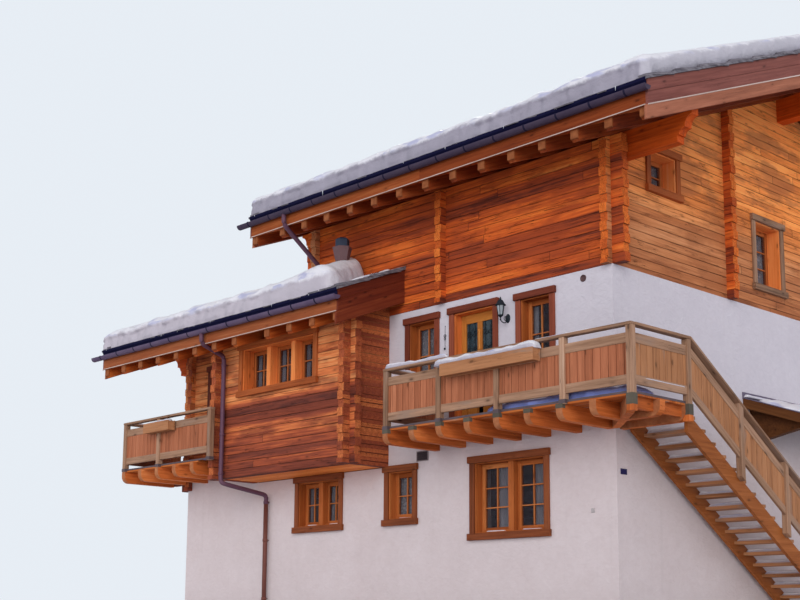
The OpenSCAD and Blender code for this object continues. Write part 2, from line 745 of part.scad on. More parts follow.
front_brackets = 7;
first_bracket = 27;
left_brackets = 5;
left_pitch = 630;
corner_back = 80;
rim_in = 60;
rim_t = 80;
rim_h = 170;
jack_at = 480;
module balcony_brackets() house() color(warm) {
    for (k = [0:front_brackets - 1])
        bracket_out(-first_bracket - k * bracket_pitch - bracket_w, balcony_out);
    // The corner: a diagonal bracket, one at the stair, a rim beam and a short bracket each way.
    along_y(stair_y - bracket_w, stair_y) bracket_outline(deck_out);
    difference() {
        rotate([0, 0, -45]) along_y(-bracket_w / 2, bracket_w / 2)
            bracket_outline(sqrt(2) * deck_out - corner_back);
        box([-far, -far, 0], [0, far, tall]);
        box([-far, 0, 0], [far, far, tall]);
    }
    box([deck_out - rim_in - rim_t, rim_in - deck_out, deck_z - rim_h], [deck_out - rim_in, stair_y, deck_z]);
    intersection() {
        bracket_out(jack_at, balcony_out);
        linear_extrude(tall) polygon([[0, 0], [far, -far], [0, -far]]);
    }
    intersection() {
        along_y(-jack_at - bracket_w, -jack_at) bracket_outline(balcony_out);
        linear_extrude(tall) polygon([[0, 0], [far, 0], [far, -far]]);
    }
    translate([0, 0, -left_drop]) difference() {
        for (k = [0:left_brackets - 1]) bracket_out(left_x0 + k * left_pitch, balcony_out);
        box([-house_l, -short_end, 0], [-house_l + log_t, 0, tall]);
    }
}

// A straight railing along x from 0 to len: posts, some of them low over the brackets, handrail and boarded panel, outer face on y = 0.
panel_lo = 60;
panel_hi = 850;
panel_t = 50;
handrail_h = 45;
post_tail = plank_t;
corner_tail = plank_t + bracket_h;
rail_wide = 10;
module railing(len, posts, low = []) {
    for (x = posts) translate([x, 0, -post_tail])
        cube([post_w, post_w, rail_h + post_tail - handrail_h]);
    for (x = low) translate([x, 0, -corner_tail])
        cube([post_w, post_w, rail_h + corner_tail - handrail_h]);
    translate([0, -rail_wide, rail_h - handrail_h]) cube([len, post_w + 2 * rail_wide, handrail_h]);
    translate([0, (post_w - panel_t) / 2, panel_lo]) cube([len, panel_t, panel_hi - panel_lo]);
}
// The return of a railing from its left end back to the wall.
module rail_return() {
    translate([0, post_w, rail_h - handrail_h]) cube([post_w, balcony_out - post_w, handrail_h]);
    translate([(post_w - panel_t) / 2, post_w, panel_lo])
        cube([panel_t, balcony_out - post_w, panel_hi - panel_lo]);
}
front_rail_l = balcony_l + balcony_out;
front_posts = [0, 1262, 2543, 3875];
left_rail_l = left_balcony_l + long_end - 40;
left_posts = [0, 1280, left_rail_l - post_w];
module front_railing() house() color(grey_wood) translate([0, 0, floor_z]) difference() {
    union() {
        translate([-balcony_l, -balcony_out, 0]) {
            railing(front_rail_l, front_posts, [front_rail_l - post_w]);
            rail_return();
        }
        translate([balcony_out, -balcony_out, 0]) rotate([0, 0, 90])
            railing(balcony_out + stair_y, [], [balcony_out + stair_y - post_w]);
    }
    box([post_lap - balcony_l, -deck_out, -far], [deck_out, far, 0]);
}
module left_railing() house() color(grey_wood) translate([0, 0, floor_z - left_drop]) difference() {
    union() {
        translate([left_x0, -balcony_out, 0]) {
            railing(left_rail_l, left_posts);
            rail_return();
        }
        // It closes against the log ends of the corner.
        translate([left_x0, -post_w, 0]) intersection() {
            railing(-house_l - long_end - left_x0, [0]);
            translate([0, 0, -far]) cube([far, post_w, 2 * far]);
        }
    }
    box([left_x0 + post_lap, -deck_out, -far], [far, far, 0]);
}

// Boxes hung outside the railing, full of earth.
box_w = 180;
box_h = 200;
box_t = 20;
box_up = 650;
front_box_x = -2430;
front_box_l = 1990;
left_box_in = 1040;
left_box_l = 920;
module planter(len) difference() {
    cube([len, box_w, box_h]);
    translate([box_t, box_t, box_h - 30]) cube([len - 2 * box_t, box_w - 2 * box_t, box_h]);
}
module flower_boxes() house() color(grey_wood) {
    translate([front_box_x, -balcony_out - box_w, floor_z + box_up]) planter(front_box_l);
    translate([left_x0 + left_box_in, -balcony_out - box_w, floor_z - left_drop + box_up])
        planter(left_box_l);
}

// Stair.
stair_len = risers * going;
stringer_h = 300;
stringer_down = 30;
outer_down = 140;
tread_over = 20;
stair_post_pitch = 1280;
module stair_band(lo, hi, y0, y1) polygon([[y0, floor_z - stair_slope * y0 + lo],
    [y1, floor_z - stair_slope * y1 + lo], [y1, floor_z - stair_slope * y1 + hi],
    [y0, floor_z - stair_slope * y0 + hi]]);
module stair_stringers() house() color(warm) translate([0, stair_y, 0])
    for (s = [[stair_gap, stringer_down], [stair_x1 - stringer_t, outer_down]])
        along_x(s[0], s[0] + stringer_t) intersection() {
            stair_band(-stringer_h - s[1], -s[1], 0, stair_len);
            translate([0, foot_z]) square([far, tall]);
        }
module stair_treads() house() color(grey_wood) translate([0, stair_y, 0])
    for (k = [1:risers - 1])
        translate([stair_gap + stringer_t, (k - 1) * going, floor_z - k * stair_rise - tread_t])
            cube([stair_x1 - stair_gap - 2 * stringer_t, going + tread_over, tread_t]);
module stair_railing() house() color(grey_wood) translate([0, stair_y, 0]) {
    x = stair_x1;
    along_x(x + (post_w - panel_t) / 2, x + (post_w + panel_t) / 2)
        stair_band(panel_lo, panel_hi, 0, stair_len - going);
    along_x(x, x + post_w) stair_band(rail_h - handrail_h * 1.2, rail_h, 0, stair_len - going);
    for (y = [stair_post_pitch:stair_post_pitch:stair_len - 2 * stair_post_pitch / 3])
        along_x(x, x + post_w) stair_band(-stringer_h, rail_h - handrail_h * 1.2, y, y + post_w);
    along_x(x, x + post_w) translate([stair_len - going - post_w, foot_z])
        square([post_w, rail_h + going * stair_slope]);
}

// Windows and doors.
head_h = 115;
head_out = 30;
sill_out = 40;
board_side = 25;
post_share = 0.7;
// A head or sill board that stands out past the casing.
module side_board(w, z, out) translate([-casing_w - board_side, -casing_t - out, z])
    cube([w + 2 * (casing_w + board_side), casing_t + out, head_h]);
// Width of one light between the stiles.
function light_w(o) = (o[2] - 2 * lining_t - 2 * sash_w - (o[4] - 1) * mullion_w) / o[4];
// Casing boards, reveal lining and sash for one opening; the wall's face is y = 0.
module window(o, reveal) translate([o[0], 0, o[1]]) {
    w = o[2];
    h = o[3];
    lights = o[4];
    difference() {
        union() {
            translate([-casing_w, -casing_t, -casing_w])
                cube([w + 2 * casing_w, casing_t, h + 2 * casing_w]);
            cube([w, reveal + sash_t, h]);
        }
        translate([lining_t, -casing_t - 1, lining_t])
            cube([w - 2 * lining_t, casing_t + reveal + sash_t + 2, h - 2 * lining_t]);
    }
    side_board(w, h + casing_w - head_h, head_out);
    side_board(w, -casing_w, sill_out);
    // Posts between the lights stand in front of the sash.
    if (lights > 1) for (k = [1:lights - 1])
        translate([lining_t + 2 * sash_w - mullion_w + k * (light_w(o) + mullion_w),
            reveal * (1 - post_share), lining_t])
            cube([mullion_w - 2 * sash_w, reveal * post_share + sash_t, h - 2 * lining_t]);
    translate([lining_t, reveal, lining_t]) difference() {
        cube([w - 2 * lining_t, sash_t, h - 2 * lining_t]);
        for (k = [0:lights - 1]) translate([sash_w + k * (light_w(o) + mullion_w), -1, sash_w])
            cube([light_w(o), sash_t + 2, h - 2 * lining_t - 2 * sash_w]);
    }
}
module panes(o, reveal) translate([o[0] + lining_t, reveal + (sash_t - pane_t) / 2, o[1] + lining_t]) {
    for (k = [0:o[4] - 1]) translate([sash_w + k * (light_w(o) + mullion_w), 0, sash_w])
        cube([light_w(o), pane_t, o[3] - 2 * lining_t - 2 * sash_w]);
}

module front_windows() house() color("chocolate")
    for (o = concat(front_low, front_high)) window(o, masonry_reveal);
module bay_window() house() color("chocolate") translate([0, -bay_out, 0]) window(bay_light, log_reveal);
module gable_windows() house() color("chocolate") {
    on_right() for (o = gable_high) window(o, log_reveal);
    rear_half() on_right() for (o = gable_rear) window(o, log_reveal);
}
module rear_windows() house() color("chocolate") on_rear() {
    for (o = concat(rear_low, rear_high)) window(o, masonry_reveal);
    for (o = concat(rear_top, rear_annex)) window(o, log_reveal);
}
module left_windows() house() color("chocolate") on_left() {
    for (o = left_low) window(o, masonry_reveal);
    for (o = left_high) window(o, log_reveal);
}
module glass() house() color("lightblue") {
    for (o = concat(front_low, front_high)) panes(o, masonry_reveal);
    translate([0, -bay_out, 0]) panes(bay_light, log_reveal);
    on_right() for (o = gable_high) panes(o, log_reveal);
    rear_half() on_right() for (o = gable_rear) panes(o, log_reveal);
    on_rear() for (o = concat(rear_low, rear_high)) panes(o, masonry_reveal);
    on_rear() for (o = concat(rear_top, rear_annex)) panes(o, log_reveal);
    on_left() for (o = left_low) panes(o, masonry_reveal);
    on_left() for (o = left_high) panes(o, log_reveal);
}

// A closed leaf in a cased frame.
module door(o, reveal) translate([o[0], 0, o[1]]) {
    w = o[2];
    h = o[3];
    difference() {
        union() {
            translate([-casing_w, -casing_t, 0]) cube([w + 2 * casing_w, casing_t, h + casing_w]);
            cube([w, reveal + sash_t, h]);
        }
        translate([lining_t, -casing_t - 1, -1])
            cube([w - 2 * lining_t, casing_t + reveal + sash_t + 2, h - lining_t + 1]);
    }
    side_board(w, h + casing_w - head_h, head_out);
    translate([lining_t, reveal, 0]) cube([w - 2 * lining_t, sash_t, h - lining_t]);
}
module doors() house() color("darkgoldenrod") {
    door(balcony_door, masonry_reveal);
    door(loggia_door, log_reveal);
    on_right() door(side_door, masonry_reveal);
}

lantern_x = -2215;
lantern_z = 4790;
lantern_out = 200;
lamp_h = 170;
arm_w = 24;
module lantern() house() color("black") translate([lantern_x, -lantern_out, lantern_z]) {
    translate([0, 0, 60]) cylinder(r1 = 42, r2 = 68, h = lamp_h, $fn = 6);
    translate([0, 0, 60 + lamp_h]) cylinder(r1 = 86, r2 = 16, h = 100, $fn = 6);
    translate([-arm_w / 2, 0, 0]) cube([arm_w, lantern_out, arm_w]);
    translate([-arm_w / 2, -arm_w / 2, 0]) cube([arm_w, arm_w, 60]);
}

canopy_y = 3650;
canopy_l = 3300;
canopy_out = 1250;
canopy_top = 3640;
canopy_fall = 400;
canopy_t = 190;
prop_w = 140;
prop_in = 200;
prop_back = 80;
module canopy() house() color(wood) translate([0, canopy_y, canopy_top]) {
    along_y(0, canopy_l) polygon([[0, -canopy_t], [canopy_out, -canopy_t - canopy_fall],
        [canopy_out, -canopy_fall - 40], [0, 0]]);
    // Two brackets that meet the underside.
    prop_end = canopy_out - prop_back;
    for (y = [prop_in, canopy_l - prop_in - prop_w]) along_y(y, y + prop_w)
        polygon([[0, -4 * canopy_t], [prop_w, -4 * canopy_t],
            [prop_end, -canopy_t - canopy_fall * prop_end / canopy_out], [0, -canopy_t]]);
}

ground_slab();
front_wall();
rear_wall();
right_gable_wall();
left_wall();
floors();
front_logs();
rear_logs();
right_gable_logs();
left_gable_logs();
partition_ends();
bay_logs();
annex_front_logs();
annex_gable_logs();
annex_rear_logs();
bay_soffit();
purlins();
main_rafters();
annex_rafters();
main_roof();
annex_roof();
main_slates();
annex_slates();
main_snow();
annex_snow();
main_eave_boards();
annex_eave_boards();
gutters();
downpipes();
flue();
balcony_decks();
balcony_brackets();
front_railing();
left_railing();
flower_boxes();
stair_stringers();
stair_treads();
stair_railing();
front_windows();
bay_window();
gable_windows();
rear_windows();
left_windows();
glass();
doors();
lantern();
canopy();
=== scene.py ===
import math

import bpy
import numpy as np
from mathutils import Matrix, Vector


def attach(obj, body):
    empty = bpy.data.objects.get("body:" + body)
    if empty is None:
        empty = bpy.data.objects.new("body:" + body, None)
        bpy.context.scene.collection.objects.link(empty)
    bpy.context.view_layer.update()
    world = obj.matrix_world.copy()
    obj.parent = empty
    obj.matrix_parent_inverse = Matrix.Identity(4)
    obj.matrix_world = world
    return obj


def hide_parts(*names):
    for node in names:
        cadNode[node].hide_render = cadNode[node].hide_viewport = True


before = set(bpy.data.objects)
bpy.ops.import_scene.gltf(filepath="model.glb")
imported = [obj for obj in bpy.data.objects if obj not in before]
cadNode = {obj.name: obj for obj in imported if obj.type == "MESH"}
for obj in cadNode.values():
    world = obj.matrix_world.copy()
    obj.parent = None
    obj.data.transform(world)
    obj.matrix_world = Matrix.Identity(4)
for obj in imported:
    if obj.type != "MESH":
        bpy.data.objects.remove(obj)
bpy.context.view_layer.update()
print("frame loaded:", len(cadNode), "solids")

# Everything below is counted in metres from the front right corner of the masonry, like the solids.
house = {
    "corner": (5.75, -5.3, 0.45),  # that corner in the frame's own coordinates
    "long": 11.5,
    "deep": 10.6,
    "whiteHigh": 5.355,
    "plinthHigh": 2.53,
    "floorHigh": 3.01,
    "logThick": 0.143,
    "course": 0.1515,
    "blockLeft": -7.353,
    "bayRight": -5.155,
    "bayLeft": -9.2,
    "bayOut": 0.957,
    "pitch": 22,
    "coverHigh": 0.654,  # snow's underside over the rafters' underside
}
# Height of the rafters' underside over the front wall, both ends, overhang at front and back.
roofs = {
    "main": {"z": 7.476, "x0": -8.053, "x1": 1.54, "front": 1.1, "back": 1.1},
    "annex": {"z": 5.56, "x0": -12.54, "x1": -4.755, "front": 1.617, "back": 1.1},
}
rafterRow = {"start": -0.033, "pitch": 0.655}
plinth, white, floorHigh, deepHouse = [house[key] for key in ("plinthHigh", "whiteHigh", "floorHigh", "deep")]
coverHigh = house["coverHigh"]
pitch = math.radians(house["pitch"])
pitchRise, cosPitch, sinPitch = math.tan(pitch), math.cos(pitch), math.sin(pitch)
corner = np.array(house["corner"])
chance = np.random.default_rng(11)


def operator(operation, swapped=False):
    # One operator of Wire: a Math node of this kind, its two inputs swapped in the reflected form.
    def run(self, other):
        return self.look.maths(operation, *((other, self) if swapped else (self, other)))
    return run


class Wire:
    # A shader socket that adds its Math nodes when it is used in an expression.
    __add__, __radd__ = operator("ADD"), operator("ADD", True)
    __sub__, __rsub__ = operator("SUBTRACT"), operator("SUBTRACT", True)
    __mul__, __rmul__ = operator("MULTIPLY"), operator("MULTIPLY", True)
    __truediv__, __rtruediv__ = operator("DIVIDE"), operator("DIVIDE", True)
    __lt__, __gt__ = operator("LESS_THAN"), operator("GREATER_THAN")

    def __init__(self, look, socket):
        self.look, self.socket = look, socket

    def floor(self):
        return self.look.maths("FLOOR", self)

    def abs(self):
        return self.look.maths("ABSOLUTE", self)

    def clamp(self):
        return self.look.node("ShaderNodeClamp", {}, {0: self})

    def fade(self, lo, hi, start=0.0, end=1.0):
        # Smooth step: start at lo, end at hi.
        return self.look.node("ShaderNodeMapRange", {"interpolation_type": "SMOOTHSTEP"},
                              {0: self, 1: lo, 2: hi, 3: start, 4: end})


class Look:
    # One material, or a world as owner: node() adds any node, and the rest are common uses of it.

    def __init__(self, name, owner=None):
        self.material = owner or bpy.data.materials.new(name)
        self.material.use_nodes = True
        self.tree = self.material.node_tree
        self.tree.nodes.clear()
        self.coords = self.tree.nodes.new("ShaderNodeTexCoord")
        self.place = Wire(self, self.coords.outputs["Object"])

    def node(self, kind, settings, inputs, out=0):
        # settings are the node's own options ("stops" a colour ramp's), inputs are values or wires by socket.
        made = self.tree.nodes.new(kind)
        for key, value in settings.items():
            if key == "stops":
                while len(made.color_ramp.elements) < len(value):
                    made.color_ramp.elements.new(1.0)
                for element, (where, colour) in zip(made.color_ramp.elements, value):
                    element.position, element.color = where, (*colour, 1)
            else:
                setattr(made, key, value)
        for key, value in inputs.items():
            if isinstance(value, Wire):
                self.tree.links.new(value.socket, made.inputs[key])
            else:
                made.inputs[key].default_value = value
        return Wire(self, made.outputs[out] if len(made.outputs) else None)

    def maths(self, operation, a, b=0.0, c=0.0):
        return self.node("ShaderNodeMath", {"operation": operation}, {0: a, 1: b, 2: c})

    def split(self, vector):
        made = self.node("ShaderNodeSeparateXYZ", {}, {0: vector}).socket.node
        return [Wire(self, made.outputs[k]) for k in range(3)]

    def join(self, x, y, z):
        return self.node("ShaderNodeCombineXYZ", {}, {0: x, 1: y, 2: z})

    def scale(self, vector, factors):
        return self.node("ShaderNodeVectorMath", {"operation": "MULTIPLY"}, {0: vector, 1: factors})

    def noise(self, vector, size=1.0, detail=3.0, rough=0.55, twist=0.0):
        return self.node("ShaderNodeTexNoise", {}, {"Vector": vector, "Scale": size, "Detail": detail,
                         "Roughness": rough, "Distortion": twist})

    def cells(self, vector, size=1.0):
        return self.node("ShaderNodeTexVoronoi", {}, {"Vector": vector, "Scale": size})

    def spot(self):
        # The place counted from the masonry's corner.
        return [part - at for part, at in zip(self.split(self.place), corner)]

    def own(self, attribute, out=2):
        # A number that a piece carries in an attribute, or a vector with out=1.
        return self.node("ShaderNodeAttribute", {"attribute_name": attribute}, {}, out=out)

    def lottery(self, vector):
        return self.node("ShaderNodeTexWhiteNoise", {"noise_dimensions": "3D"}, {"Vector": vector})

    def ramp(self, factor, stops):
        return self.node("ShaderNodeValToRGB", {"stops": stops}, {0: factor})

    def mix(self, factor, a, b, how="MIX"):
        inputs = {0: factor, 6: a, 7: b}
        inputs.update((k, (*inputs[k], 1)) for k in (6, 7) if not isinstance(inputs[k], Wire))
        return self.node("ShaderNodeMix", {"data_type": "RGBA", "blend_type": how}, inputs, out=2)

    def facing(self):
        # The surface's own direction, as three numbers.
        return self.split(Wire(self, self.coords.outputs["Normal"]))

    def finish(self, colour, rough=0.6, height=None, deep=0.002, **fixed):
        # The shader itself; deep is the bump's depth in metres.
        inputs = {"Base Color": colour, "Roughness": rough}
        if height is not None:
            bump = {"Strength": 1.0, "Distance": deep, "Height": height}
            inputs["Normal"] = self.node("ShaderNodeBump", {}, bump)
        sockets = {"metal": "Metallic", "alpha": "Alpha", "ior": "IOR", "shine": "Specular IOR Level"}
        inputs.update((sockets[key], value) for key, value in fixed.items())
        shader = self.node("ShaderNodeBsdfPrincipled", {}, inputs)
        self.node("ShaderNodeOutputMaterial", {}, {"Surface": shader})
        return self.material


def fibres(look, grain, tint, stops, grey=(0.32, 0.215, 0.16), greyShare=0.0, cracks=1.0, knots=1.0):
    # Wood along the first axis of grain: broad bands, streaks, fine fibres, drying cracks and knots.
    # Gives a colour and a height; tint from 0 to 1 picks the timber's own tone.
    wander = look.noise(look.scale(grain, (0.7, 3.0, 3.0)), 1.0, 2.0)
    bent = look.node("ShaderNodeVectorMath", {"operation": "ADD"},
                     {0: grain, 1: look.join(0.0, (wander - 0.5) * 0.06, (wander - 0.5) * 0.04)})
    broad = look.noise(look.scale(bent, (0.5, 7.0, 7.0)), 1.0, 2.0)
    streak = look.noise(look.scale(bent, (1.1, 26.0, 26.0)), 1.0, 4.0, 0.62)
    fibre = look.noise(look.scale(bent, (6.0, 150.0, 150.0)), 1.0, 3.0, 0.6)
    tone = tint * 0.8 + broad * 0.55 + streak * 1.0 + fibre * 0.22 - 0.785
    colour = look.ramp(tone.clamp(), stops)
    split = look.noise(look.scale(bent, (1.1, 34.0, 34.0)), 1.0, 1.5, 0.4)
    where = look.noise(look.scale(grain, (1.3, 5.0, 5.0)), 1.0, 1.0)
    crack = (split - 0.5).abs().fade(0.016, 0.004) * where.fade(0.46, 0.6) * cracks
    cell = look.cells(look.scale(bent, (2.3, 6.0, 6.0)), 1.0)
    knot = cell.fade(0.13, 0.06) * knots
    ring = cell.fade(0.26, 0.1) * knots
    if greyShare:
        worn = look.noise(look.scale(grain, (0.9, 5.0, 5.0)), 1.0, 4.0).fade(0.62 - greyShare * 0.3, 0.7)
        colour = look.mix(worn * 0.85, colour, grey)
    colour = look.mix(ring * 0.35, colour, stops[0][1])
    colour = look.mix(knot * 0.75, colour, tuple(0.45 * v for v in stops[0][1]))
    colour = look.mix(crack * 0.75, colour, tuple(0.3 * v for v in stops[0][1]))
    return colour, streak * 0.35 + fibre * 0.35 - crack * 0.9 - knot * 0.15


def endGrain(look, across, up, tint, stops):
    # Sawn end of a log: rings round a point below its middle and cracks that run out from it.
    far = look.maths("SQRT", across * across + up * up)
    wobble = look.noise(look.join(across, up, tint * 9.0), 9.0, 3.0)
    ring = look.maths("SINE", far * 520.0 + wobble * 14.0) * 0.5 + 0.5
    angle = look.maths("ARCTAN2", across, up)
    ray = look.noise(look.join(angle * 2.2, far * 5.0, tint * 31.0), 2.0, 2.0)
    crack = (ray - 0.5).abs().fade(0.02, 0.004)
    colour = look.ramp((tint * 0.55 + ring * 0.15 + wobble * 0.35 + 0.1).clamp(), stops)
    colour = look.mix(crack * 0.8, colour, tuple(0.3 * v for v in stops[0][1]))
    return colour, ring * 0.25 - crack * 0.8


logTones = {
    "front": [(0.0, (0.125, 0.028, 0.017)), (0.26, (0.362, 0.062, 0.018)), (0.52, (0.66, 0.118, 0.021)),
              (0.76, (0.85, 0.2, 0.034)), (1.0, (0.93, 0.335, 0.075))],
    "gable": [(0.0, (0.221, 0.071, 0.029)), (0.28, (0.42, 0.143, 0.054)), (0.55, (0.598, 0.23, 0.09)),
              (0.8, (0.714, 0.316, 0.139)), (1.0, (0.777, 0.408, 0.211))],
    "bay": [(0.0, (0.092, 0.026, 0.02)), (0.28, (0.222, 0.052, 0.029)), (0.55, (0.44, 0.099, 0.04)),
            (0.8, (0.735, 0.212, 0.064)), (1.0, (0.87, 0.36, 0.13))],
}
# Darker and lighter courses: height, half width, change of tone.
logBands = {
    "front": [(6.95, 0.16, -0.3), (6.62, 0.14, 0.1), (6.1, 0.26, -0.4), (5.72, 0.16, -0.1),
              (5.42, 0.08, -0.35), (7.3, 0.2, 0.08)],
    "gable": [(6.9, 0.3, -0.14), (5.5, 0.16, -0.22)],
    "bay": [(3.78, 0.25, -0.42), (3.36, 0.16, 0.14), (3.02, 0.15, -0.38), (2.62, 0.22, -0.36),
            (3.1, 0.8, -0.14), (4.65, 0.75, 0.52)],
}
logJoint = {"dark": (0.03, 0.01, 0.006), "length": 7.5}


def logWall(name, kind, zFoot, across, caps=None, warm=None):
    # Squared logs one course high in bands of two or three, each with its own tone, drift and end joints.
    # across is 1 where they run along y, as a number or, for logs of both directions, a function of x and y;
    # caps = tones of the end faces; warm = (low, high, colour that the upper part is multiplied by), painted
    # light that brightens upper logs shaded by the eave.
    look = Look(name)
    stops = logTones[kind]
    x, y, z = look.spot()
    turned = across(x, y) if callable(across) else look.maths("ADD", across, 0.0)
    nx, ny, nz = look.facing()
    level = (z - zFoot) / house["course"] + turned * 0.5
    index = level.floor()
    part = level - index
    run = x * (1.0 - turned) + y * turned
    side = y * (1.0 - turned) + x * turned
    along = (run + look.lottery(look.join(index, 3.0, turned * 5.0 + 1.0)) * 5.0) / logJoint["length"]
    piece = along.floor()
    own = look.lottery(look.join(index, piece, turned * 5.0 + 7.0))
    band = look.noise(look.join(index * 0.43 + 3.1, piece * 5.3, turned * 7.7), 1.0, 1.0).fade(0.36, 0.64)
    drift = look.noise(look.join(run * 0.32, index * 2.7, piece * 3.1), 1.0, 2.0).fade(0.3, 0.7)
    # Painted light: the tone rises left of x = -4.2, lifting logs that the roof's shade darkens.
    tint = band * 0.28 + own * 0.24 + drift * 0.26 + 0.13 + x.fade(-4.2, -5.2) * 0.22
    for middle, width, change in logBands[kind]:
        tint = tint + (z - middle).abs().fade(width * 1.25, width * 0.6, 0.0, change) * (drift * 0.7 + 0.6)
    shift = index * 3.7 + piece * 1.9
    grain = look.join(run + shift, z + shift * 0.37, side)
    colour, height = fibres(look, grain, tint.clamp(), stops, knots=0.6)
    # Painted light: warm multiplies the upper part's colour to brighten logs in the eave's shade.
    if warm:
        colour = look.mix(z.fade(*warm[:2]), colour, warm[2], "MULTIPLY")
    uneven = look.noise(look.join(run * 1.3, index * 5.1, 2.0), 1.0, 3.0)
    seam = (0.5 - (part - 0.5).abs()) * house["course"]
    wide = look.noise(look.join(run * 0.8, index * 7.3, 5.0), 1.0, 2.0).fade(0.48, 0.66)
    gap = look.maths("MAXIMUM", seam.fade(0.0105, 0.003) * uneven.fade(0.3, 0.7, 0.2, 0.9),
                     seam.fade(0.019, 0.005) * wide * 0.8)
    stain = look.noise(look.join(run * 0.55, z * 1.6, side + 3.0), 1.0, 4.0, 0.6).fade(0.48, 0.6)
    colour = look.mix(stain * 0.65, colour, stops[1][1])
    piecePart = along - piece
    joint = ((0.5 - (piecePart - 0.5).abs()) * logJoint["length"]).fade(0.006, 0.003)
    gap = look.maths("MAXIMUM", gap, joint)
    colour = look.mix(gap * 0.8, colour, logJoint["dark"])
    ends = nx.abs().fade(0.6, 0.8) * (1.0 - turned) + ny.abs().fade(0.6, 0.8) * turned
    across = side - (side / house["logThick"]).floor() * house["logThick"] - 0.07
    share, least = (0.35, 0.28) if caps else (0.75, 0.1)
    cap, capHeight = endGrain(look, across, (part - 0.42) * 0.15, own * share + least, caps or stops)
    colour = look.mix(ends, colour, cap)
    height = height * (1.0 - ends) + capHeight * ends - gap * 0.5
    return look.finish(colour, 0.62 + own * 0.18, height, 0.007, shine=0.12)


def sawn(name, stops, order="xyz", step=None, greyShare=0.0, cracks=0.6, rough=0.62, noses=None):
    # Sawn timber of a solid: order names the axis along the grain first; step = (axis, start, pitch)
    # gives each beam of a row its own tone; noses = tone of end faces that look out to the front.
    look = Look(name)
    parts = dict(zip("xyz", look.spot()))
    shift = 0.0
    own = 0.5
    if step:
        index = ((parts[step[0]] - step[1]) / step[2]).floor()
        own = look.lottery(look.join(index, 5.0, 2.0))
        shift = index * 2.3
    grain = look.join(parts[order[0]] + shift, parts[order[1]] + shift, parts[order[2]])
    weather = look.noise(look.scale(look.place, (0.5, 0.5, 0.5)), 1.0, 3.0)
    tint = own * 0.6 + weather * 0.6 - 0.1 if step else weather * 1.2 - 0.1
    colour, height = fibres(look, grain, tint.clamp(), stops, greyShare=greyShare, cracks=cracks, knots=0.7)
    if noses:
        nx, ny, nz = look.facing()
        pale = look.ramp(look.noise(look.place, 9.0, 4.0), noses)
        colour = look.mix(ny.fade(-0.25, -0.6) * 0.75, colour, pale)
    return look.finish(colour, rough, height, 0.003, shine=0.12)


def boarded(name, stops, greyShare=0.0, cracks=0.5, knots=0.8):
    # Boards of the new pieces: they carry their own grain direction and tone.
    look = Look(name)
    colour, height = fibres(look, look.own("grain", 1), look.own("tone"), stops, greyShare=greyShare,
                            cracks=cracks, knots=knots)
    return look.finish(colour, 0.62, height, 0.0022, shine=0.12)


